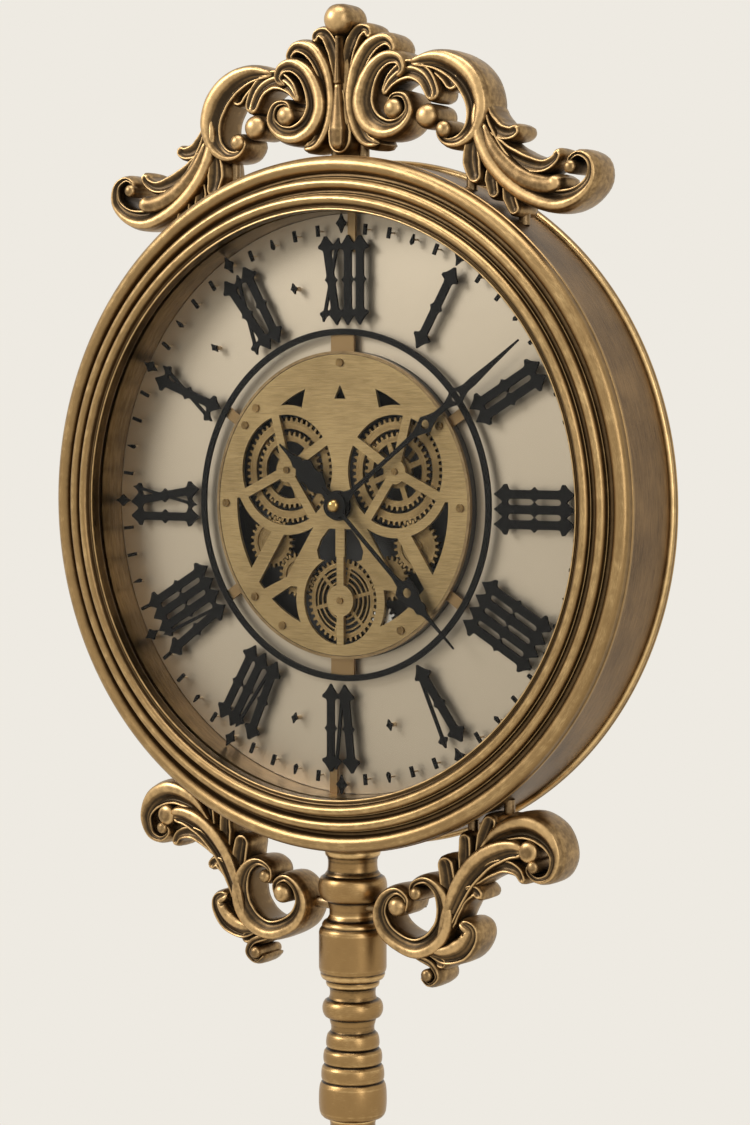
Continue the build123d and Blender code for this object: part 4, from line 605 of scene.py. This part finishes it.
def band(points, widths, kind="leaf", lift=0.0, side=1, rows=56, columns=19):
    """One scroll or leaf: a band along a line with a modelled face, round sides and a flat back."""
    line, length = smooth_line(points, rows)
    ahead = np.gradient(line, axis=0)
    ahead /= np.linalg.norm(ahead, axis=1)[:, None]
    left = np.stack([-ahead[:, 1], ahead[:, 0]], 1)
    t = np.linspace(0, 1, rows)
    half = np.interp(t, np.linspace(0, 1, len(widths)), widths) / 2
    for tip in (t * length, (1 - t) * length):
        radius = np.maximum(half, 0.5)
        inside = np.clip(1 - tip / radius, 0, 1)
        half = half * np.sqrt(np.clip(1 - inside ** 2, 0.0004, 1))
    across = np.sin(np.linspace(-np.pi / 2, np.pi / 2, columns))
    grid = line[:, None, :] + left[:, None, :] * (half[:, None] * across)[:, :, None]
    border = [(0, j) for j in range(columns)] + [(i, columns - 1) for i in range(1, rows)]
    border += [(rows - 1, j) for j in range(columns - 2, -1, -1)] + [(i, 0) for i in range(rows - 2, 0, -1)]
    outline = np.array([grid[i, j] for i, j in border])
    flat = grid.reshape(-1, 2)
    nearest = np.full(len(flat), 1e9)
    for a, b in zip(outline, np.roll(outline, -1, axis=0)):
        along = b - a
        share = np.clip(((flat - a) @ along) / max(along @ along, 1e-9), 0, 1)
        nearest = np.minimum(nearest, np.linalg.norm(flat - a - share[:, None] * along, axis=1))
    edge = nearest.reshape(rows, columns)
    wide = np.repeat(np.maximum(half, 1.0)[:, None], columns, 1)
    share = np.repeat(((1 - side * across) / 2)[None, :], rows, 0)
    height = hollow_relief(edge, share, wide, kind) + lift
    verts = [(*grid[i, j], ORNAMENT_FRONT - height[i, j]) for i in range(rows) for j in range(columns)]
    faces = [(i * columns + j, i * columns + j + 1, (i + 1) * columns + j + 1, (i + 1) * columns + j)
             for i in range(rows - 1) for j in range(columns - 1)]
    lead = np.roll(outline, -2, axis=0) - np.roll(outline, 2, axis=0)
    lead /= np.maximum(np.linalg.norm(lead, axis=1), 1e-6)[:, None]
    outward = np.stack([lead[:, 1], -lead[:, 0]], 1)
    if np.sum(outline[:, 0] * np.roll(outline[:, 1], -1) - outline[:, 1] * np.roll(outline[:, 0], -1)) < 0:
        outward = -outward
    ring = [i * columns + j for i, j in border]
    for back, out in SIDE_SWELL:
        spread = outline + outward * out
        here = len(verts)
        verts += [(*spot, ORNAMENT_FRONT - lift * (1 - back / ORNAMENT_DEPTH) + back) for spot in spread]
        fresh = list(range(here, here + len(border)))
        for k in range(len(border)):
            n = (k + 1) % len(border)
            faces.append((ring[k], fresh[k], fresh[n], ring[n]))
        ring = fresh
    faces.append(tuple(ring))
    return verts, faces


def knob(x, z, radius, proud=1.0, dome=1.0):
    """A ball eye or a rolled leaf end: a round stub along the depth with a domed front."""
    verts, faces = [], []
    sides, caps = 28, 7
    profile = []
    for k in range(1, caps + 1):
        turn = math.pi / 2 * k / caps
        profile.append((radius * math.sin(turn), -proud - radius * dome * math.cos(turn)))
    profile += [(radius, 12.0), (radius * 0.97, 22.0), (radius - 0.8, ORNAMENT_DEPTH)]
    for reach, back in profile:
        for k in range(sides):
            turn = 2 * math.pi * k / sides
            verts.append((x + reach * math.cos(turn), z + reach * math.sin(turn), ORNAMENT_FRONT + back))
    for i in range(len(profile) - 1):
        for k in range(sides):
            n = (k + 1) % sides
            faces.append((i * sides + k, (i + 1) * sides + k, (i + 1) * sides + n, i * sides + n))
    faces.append(tuple(range(sides)))
    faces.append(tuple((len(profile) - 1) * sides + k for k in range(sides)))
    return verts, faces


def cast(name, pieces, replaced, mirror=False, both=False):
    """Joins bands and knobs, drawn in millimetres from the dial's centre, into one casting."""
    verts, faces = [], []
    for some_verts, some_faces in pieces:
        for flip in ((False, True) if both else (mirror,)):
            here = len(verts)
            verts += [((-x if flip else x) / 1000, (y - AXIS_DEPTH) / 1000, (z + HEAD_Z) / 1000)
                      for x, z, y in some_verts]
            faces += [tuple(here + v for v in face) for face in some_faces]
    obj = mesh_object(name, verts, faces)
    bm = bmesh.new()
    bm.from_mesh(obj.data)
    bmesh.ops.remove_doubles(bm, verts=bm.verts, dist=0.00002)
    bmesh.ops.recalc_face_normals(bm, faces=bm.faces)
    bm.to_mesh(obj.data)
    bm.free()
    age(obj, scale=1900.0)
    return finished(obj, "stand", cast_brass, replaced)


# Painted shade on the cast brass: sides darker, and hollows and gaps darker by ambient occlusion.
cast_brass = antique_brass(
    "cast_antique_brass", paint(62, 51, 38), paint(116, 93, 63), paint(204, 170, 120),
    shine=0.38, flank_shade=ring_flank_shade, reach=0.007)

crown = [
    # leaf beside the center leaf
    band([(3, 296), (4.5, 314), (8, 329), (15, 339), (22, 339), (24, 333)],
         (5, 9, 11, 12, 10, 5), "leaf", -1.5),
    # outer leaf of the fan
    band([(33, 258), (22, 261), (13, 276), (11, 294), (16, 314), (27, 328), (39, 331), (45, 325),
          (43, 319)],
         (7, 11, 13, 14, 14, 14, 13, 9, 5), "roll", -0.5, 1),
    # large scroll of the fan
    band([(49, 304), (54, 309), (51, 316), (42, 318), (31, 312), (23, 299), (21, 286), (27, 274),
          (40, 268), (53, 271), (60, 280), (56, 290), (47, 291), (42, 285)],
         (4, 8, 11, 13, 15, 17, 18, 18, 16, 13, 10, 7, 5, 3), "roll", 1.5, -1, 84),
    # eye of the large scroll
    knob(47, 282, 7.4, 1.0, 0.8),
]
cast("crown_center_cast", crown, ["crown_center"], both=True)
center_leaf = [
    # stem
    band([(0, 337), (0, 318), (0, 301)], (3.0, 3.5, 6), "dome", 4.0),
    # teardrop
    band([(0, 303), (0, 286), (0, 270), (0, 254)], (5, 8, 13, 10), "dome", 3.0),
    # skirt round the teardrop
    band([(0, 300), (0, 280), (0, 262), (0, 252)], (8, 14, 21, 18), "leaf", 1.0),
    # web behind the fan
    band([(0, 262), (0, 300), (0, 338)], (34, 26, 12), "dome", -9.0),
    # web under the fan
    band([(-30, 268), (0, 272), (30, 268)], (10, 14, 10), "dome", -7.0),
]
cast("crown_stem_cast", center_leaf, [])

BALL_R, BALL_Z = 11.5, 348
BALL_DEPTH, BALL_FLAT = 24.0, 7.0
BALL_RINGS, BALL_SIDES = 24, 40
verts, faces = [], []
for k in range(BALL_RINGS + 1):
    turn = math.pi * k / BALL_RINGS
    reach, height = BALL_R * math.sin(turn), BALL_Z - BALL_R * math.cos(turn)
    for n in range(BALL_SIDES):
        turn = 2 * math.pi * n / BALL_SIDES
        stretch = BALL_FLAT * math.copysign(1, math.sin(turn)) * min(1, reach / 5)
        verts.append((reach * math.cos(turn), height, BALL_DEPTH + reach * math.sin(turn) + stretch))
for k in range(BALL_RINGS):
    for n in range(BALL_SIDES):
        m = (n + 1) % BALL_SIDES
        here, there = k * BALL_SIDES, (k + 1) * BALL_SIDES
        faces.append((here + n, here + m, there + m, there + n))
cast("finial_ball_cast", [(verts, faces)], ["finial_ball"])

arm = [
    # small leaf under the arch
    band([(60, 311), (75, 312), (88, 305), (97, 293)], (6, 12, 14, 13), "leaf", -2.0),
    # leaf from the fan into the arch
    band([(37, 292), (45, 303), (58, 309), (71, 304), (78, 293), (79, 285)],
         (5, 11, 15, 15, 14, 12), "double", 0.5),
    # arch, curling in at its end
    band([(60, 313), (80, 314), (97, 308), (110, 296), (116, 280), (112, 264), (101, 256), (90, 257),
          (85, 264), (90, 271)],
         (5, 12, 17, 20, 21, 19, 15, 10, 6, 4), "roll", 1.0, 1),
    # eye of the arch
    knob(90, 265, 6.2, 1.5, 0.9),
    # ball under the arch
    knob(75, 275, 9.2, -1.0, 0.9),
    # link from the ball to the fan
    knob(62, 278, 4.0, -6.0, 0.3),
    # long scroll down to the case
    band([(118, 290), (119, 268), (128, 247), (143, 230), (161, 218), (180, 212), (197, 216), (207, 226),
          (206, 238), (197, 243), (190, 238), (193, 231)],
         (4, 13, 18, 20, 20, 19, 17, 15, 11, 8, 5, 3), "roll", 0.5, -1),
    # eye of the long scroll
    knob(192, 234, 4.8, 1.5, 0.9),
    # roll inside the long scroll
    band([(121, 268), (131, 248), (146, 233), (162, 225), (177, 223), (184, 227)],
         (3, 9, 12, 13, 13, 11), "dome", 0.5),
    # leaf inside the long scroll
    band([(124, 262), (138, 247), (156, 238), (170, 236), (179, 241), (181, 247)],
         (4, 11, 13, 12, 9, 6), "leaf", 0.0),
    # side leaf, turned out
    band([(119, 288), (123, 272), (132, 262), (143, 260), (149, 264)], (4, 11, 13, 11, 8), "leaf", -0.5),
    # first hanging leaf
    band([(119, 272), (113, 256), (112, 242), (116, 226)], (4, 12, 16, 10), "leaf", 1.0),
    # second hanging leaf
    band([(127, 244), (127, 230), (130, 215)], (4, 12, 9), "leaf", -1.0),
    # third hanging leaf
    band([(138, 230), (142, 217), (148, 203)], (4, 12, 9), "leaf", 0.0),
]
cast("crown_right_arm_cast", arm, ["crown_right_arm"])
cast("crown_left_arm_cast", arm, ["crown_left_arm"], mirror=True)

bracket = [
    # main scroll, round to the column
    band([(57, -291), (58, -281), (50, -276), (40, -281), (35, -293), (40, -305), (52, -313), (66, -316),
          (80, -310), (89, -298), (90, -283), (84, -271), (74, -266), (64, -270), (63, -278), (68, -281)],
         (4, 6, 8, 10, 13, 14, 14, 15, 16, 17, 16, 14, 10, 7, 5, 3), "roll", 1.0, -1, 84),
    # eye next to the column
    knob(51, -287, 7.4, 1.0, 0.9),
    # eye of the inner curl
    knob(67, -276, 5.0, 1.5, 0.9),
    # first upright leaf
    band([(93, -286), (93, -268), (89, -247)], (5, 15, 13), "leaf", 0.0),
    # second upright leaf
    band([(103, -264), (106, -246), (106, -229)], (4, 12, 10), "leaf", -1.0),
    # third upright leaf
    band([(116, -248), (122, -232), (129, -215)], (4, 13, 12), "leaf", -0.5),
    # lug behind the leaves
    knob(138, -222, 8.0, -4.0, 0.3),
    # outer scroll
    band([(120, -240), (138, -226), (158, -221), (174, -228), (181, -241), (176, -254), (166, -257),
          (159, -251), (163, -244)],
         (4, 12, 17, 19, 17, 11, 8, 5, 3), "roll", 0.0, 1),
    # eye of the outer scroll
    knob(164, -248, 4.6, 1.0, 0.9),
    # long rolled leaf to the outer scroll
    band([(86, -312), (96, -285), (108, -262), (124, -246), (142, -238), (156, -237)],
         (5, 12, 16, 18, 17, 12), "roll", 1.5, 1),
    # its rolled end
    knob(160, -238, 7.6, 1.5, 0.45),
    # leaf under the outer scroll
    band([(106, -270), (121, -257), (138, -250), (150, -253), (155, -261)],
         (4, 11, 12, 10, 6), "leaf", -0.5),
    # side leaf, turned out
    band([(90, -306), (96, -287), (104, -275), (115, -270), (121, -275)],
         (5, 14, 14, 11, 7), "leaf", 0.0),
    # lower curl
    band([(74, -317), (92, -318), (107, -310), (112, -299), (103, -293)],
         (5, 14, 17, 14, 7), "roll", 0.5, 1),
    # hanging curl
    band([(54, -317), (68, -322), (80, -327), (84, -335), (77, -341), (70, -336)],
         (3, 6, 7, 6, 4, 3), "roll", 0.0, 1),
    # eye of the hanging curl
    knob(76, -334, 4.6, 1.0, 0.9),
    # small leaf on the hanging curl
    band([(70, -319), (80, -322), (91, -326)], (5, 10, 9), "leaf", -1.0),
]
cast("right_bracket_cast", bracket, ["right_bracket"])
cast("left_bracket_cast", bracket, ["left_bracket"], mirror=True)

# Floor, light and camera: a pale floor that fades into the backdrop, and large soft lamps.
# The camera stands where the photograph was taken from, to the right of the dial.
BACKDROP = paint(238, 234, 226)
FLOOR_R, FADE_START, FADE_END = 2.7, 1.1, 2.6
made, start = material("pale_floor")
where = place(start)
away = start.node("VectorMath", {"operation": "LENGTH"}, {0: where}, out=1)
hidden = away.ramp(FADE_START, FADE_END)
cloth = start.node("BsdfPrincipled", None, {
    "Base Color": BACKDROP, "Roughness": 0.9, "Specular IOR Level": 0.1})
gone = start.node("BsdfTransparent")
surface(start, start.node("MixShader", None, {0: hidden, 1: cloth, 2: gone}))
bm = bmesh.new()
bmesh.ops.create_circle(bm, cap_ends=True, segments=96, radius=FLOOR_R)
floor_mesh = bpy.data.meshes.new("floor")
bm.to_mesh(floor_mesh)
bm.free()
floor = bpy.data.objects.new("floor", floor_mesh)
bpy.context.scene.collection.objects.link(floor)
floor_mesh.materials.append(made)

world = bpy.data.worlds.new("studio")
bpy.context.scene.world = world
world.use_nodes = True
world.node_tree.nodes.clear()
start = Wire(world.node_tree)
rays = start.node("LightPath").socket.node.outputs
camera_ray, glossy_ray, through_ray = [
    Wire(start.tree, rays[name]) for name in ("Is Camera Ray", "Is Glossy Ray", "Is Transmission Ray")]
seen = start.sum("MAXIMUM", start.sum("MAXIMUM", camera_ray, glossy_ray), through_ray)
ROOM_LIGHT = 0.5
strength = seen * (1 - ROOM_LIGHT) + ROOM_LIGHT
studio = start.node("Background", None, {"Color": BACKDROP, "Strength": strength})
start.node("OutputWorld", None, {"Surface": studio})


def soft_box(name, spot, aim, width, height, power):
    """A rectangular studio lamp, in metres and watts, turned towards a point."""
    lamp = bpy.data.lights.new(name, "AREA")
    lamp.shape = "RECTANGLE"
    lamp.size, lamp.size_y = width, height
    lamp.energy = power
    holder = bpy.data.objects.new(name, lamp)
    bpy.context.scene.collection.objects.link(holder)
    holder.location = spot
    holder.rotation_euler = (Vector(aim) - Vector(spot)).to_track_quat("-Z", "Y").to_euler()


soft_box("key_light", (-1.9, -2.1, 2.9), (0, 0, 1.25), 1.2, 1.2, 66)
soft_box("fill_light", (2.4, -1.2, 1.9), (0, 0, 1.2), 0.5, 2.0, 16)
soft_box("top_light", (0.2, -0.4, 3.4), (0, 0, 1.2), 1.6, 0.8, 26)

CAMERA_SPOT = (1.1662, -1.6830, 1.3707)
CAMERA_TURN, CAMERA_DIP = 0.598, 0.055
LENS_MM, SENSOR_MM = 90.14, 36.0
eye = bpy.data.cameras.new("photo_camera")
eye.lens, eye.sensor_width = LENS_MM, SENSOR_MM
camera = bpy.data.objects.new("photo_camera", eye)
bpy.context.scene.collection.objects.link(camera)
camera.location = CAMERA_SPOT
camera.rotation_euler = (math.pi / 2 - CAMERA_DIP, 0, CAMERA_TURN)
bpy.context.scene.camera = camera
bpy.context.scene.view_settings.view_transform = "Standard"
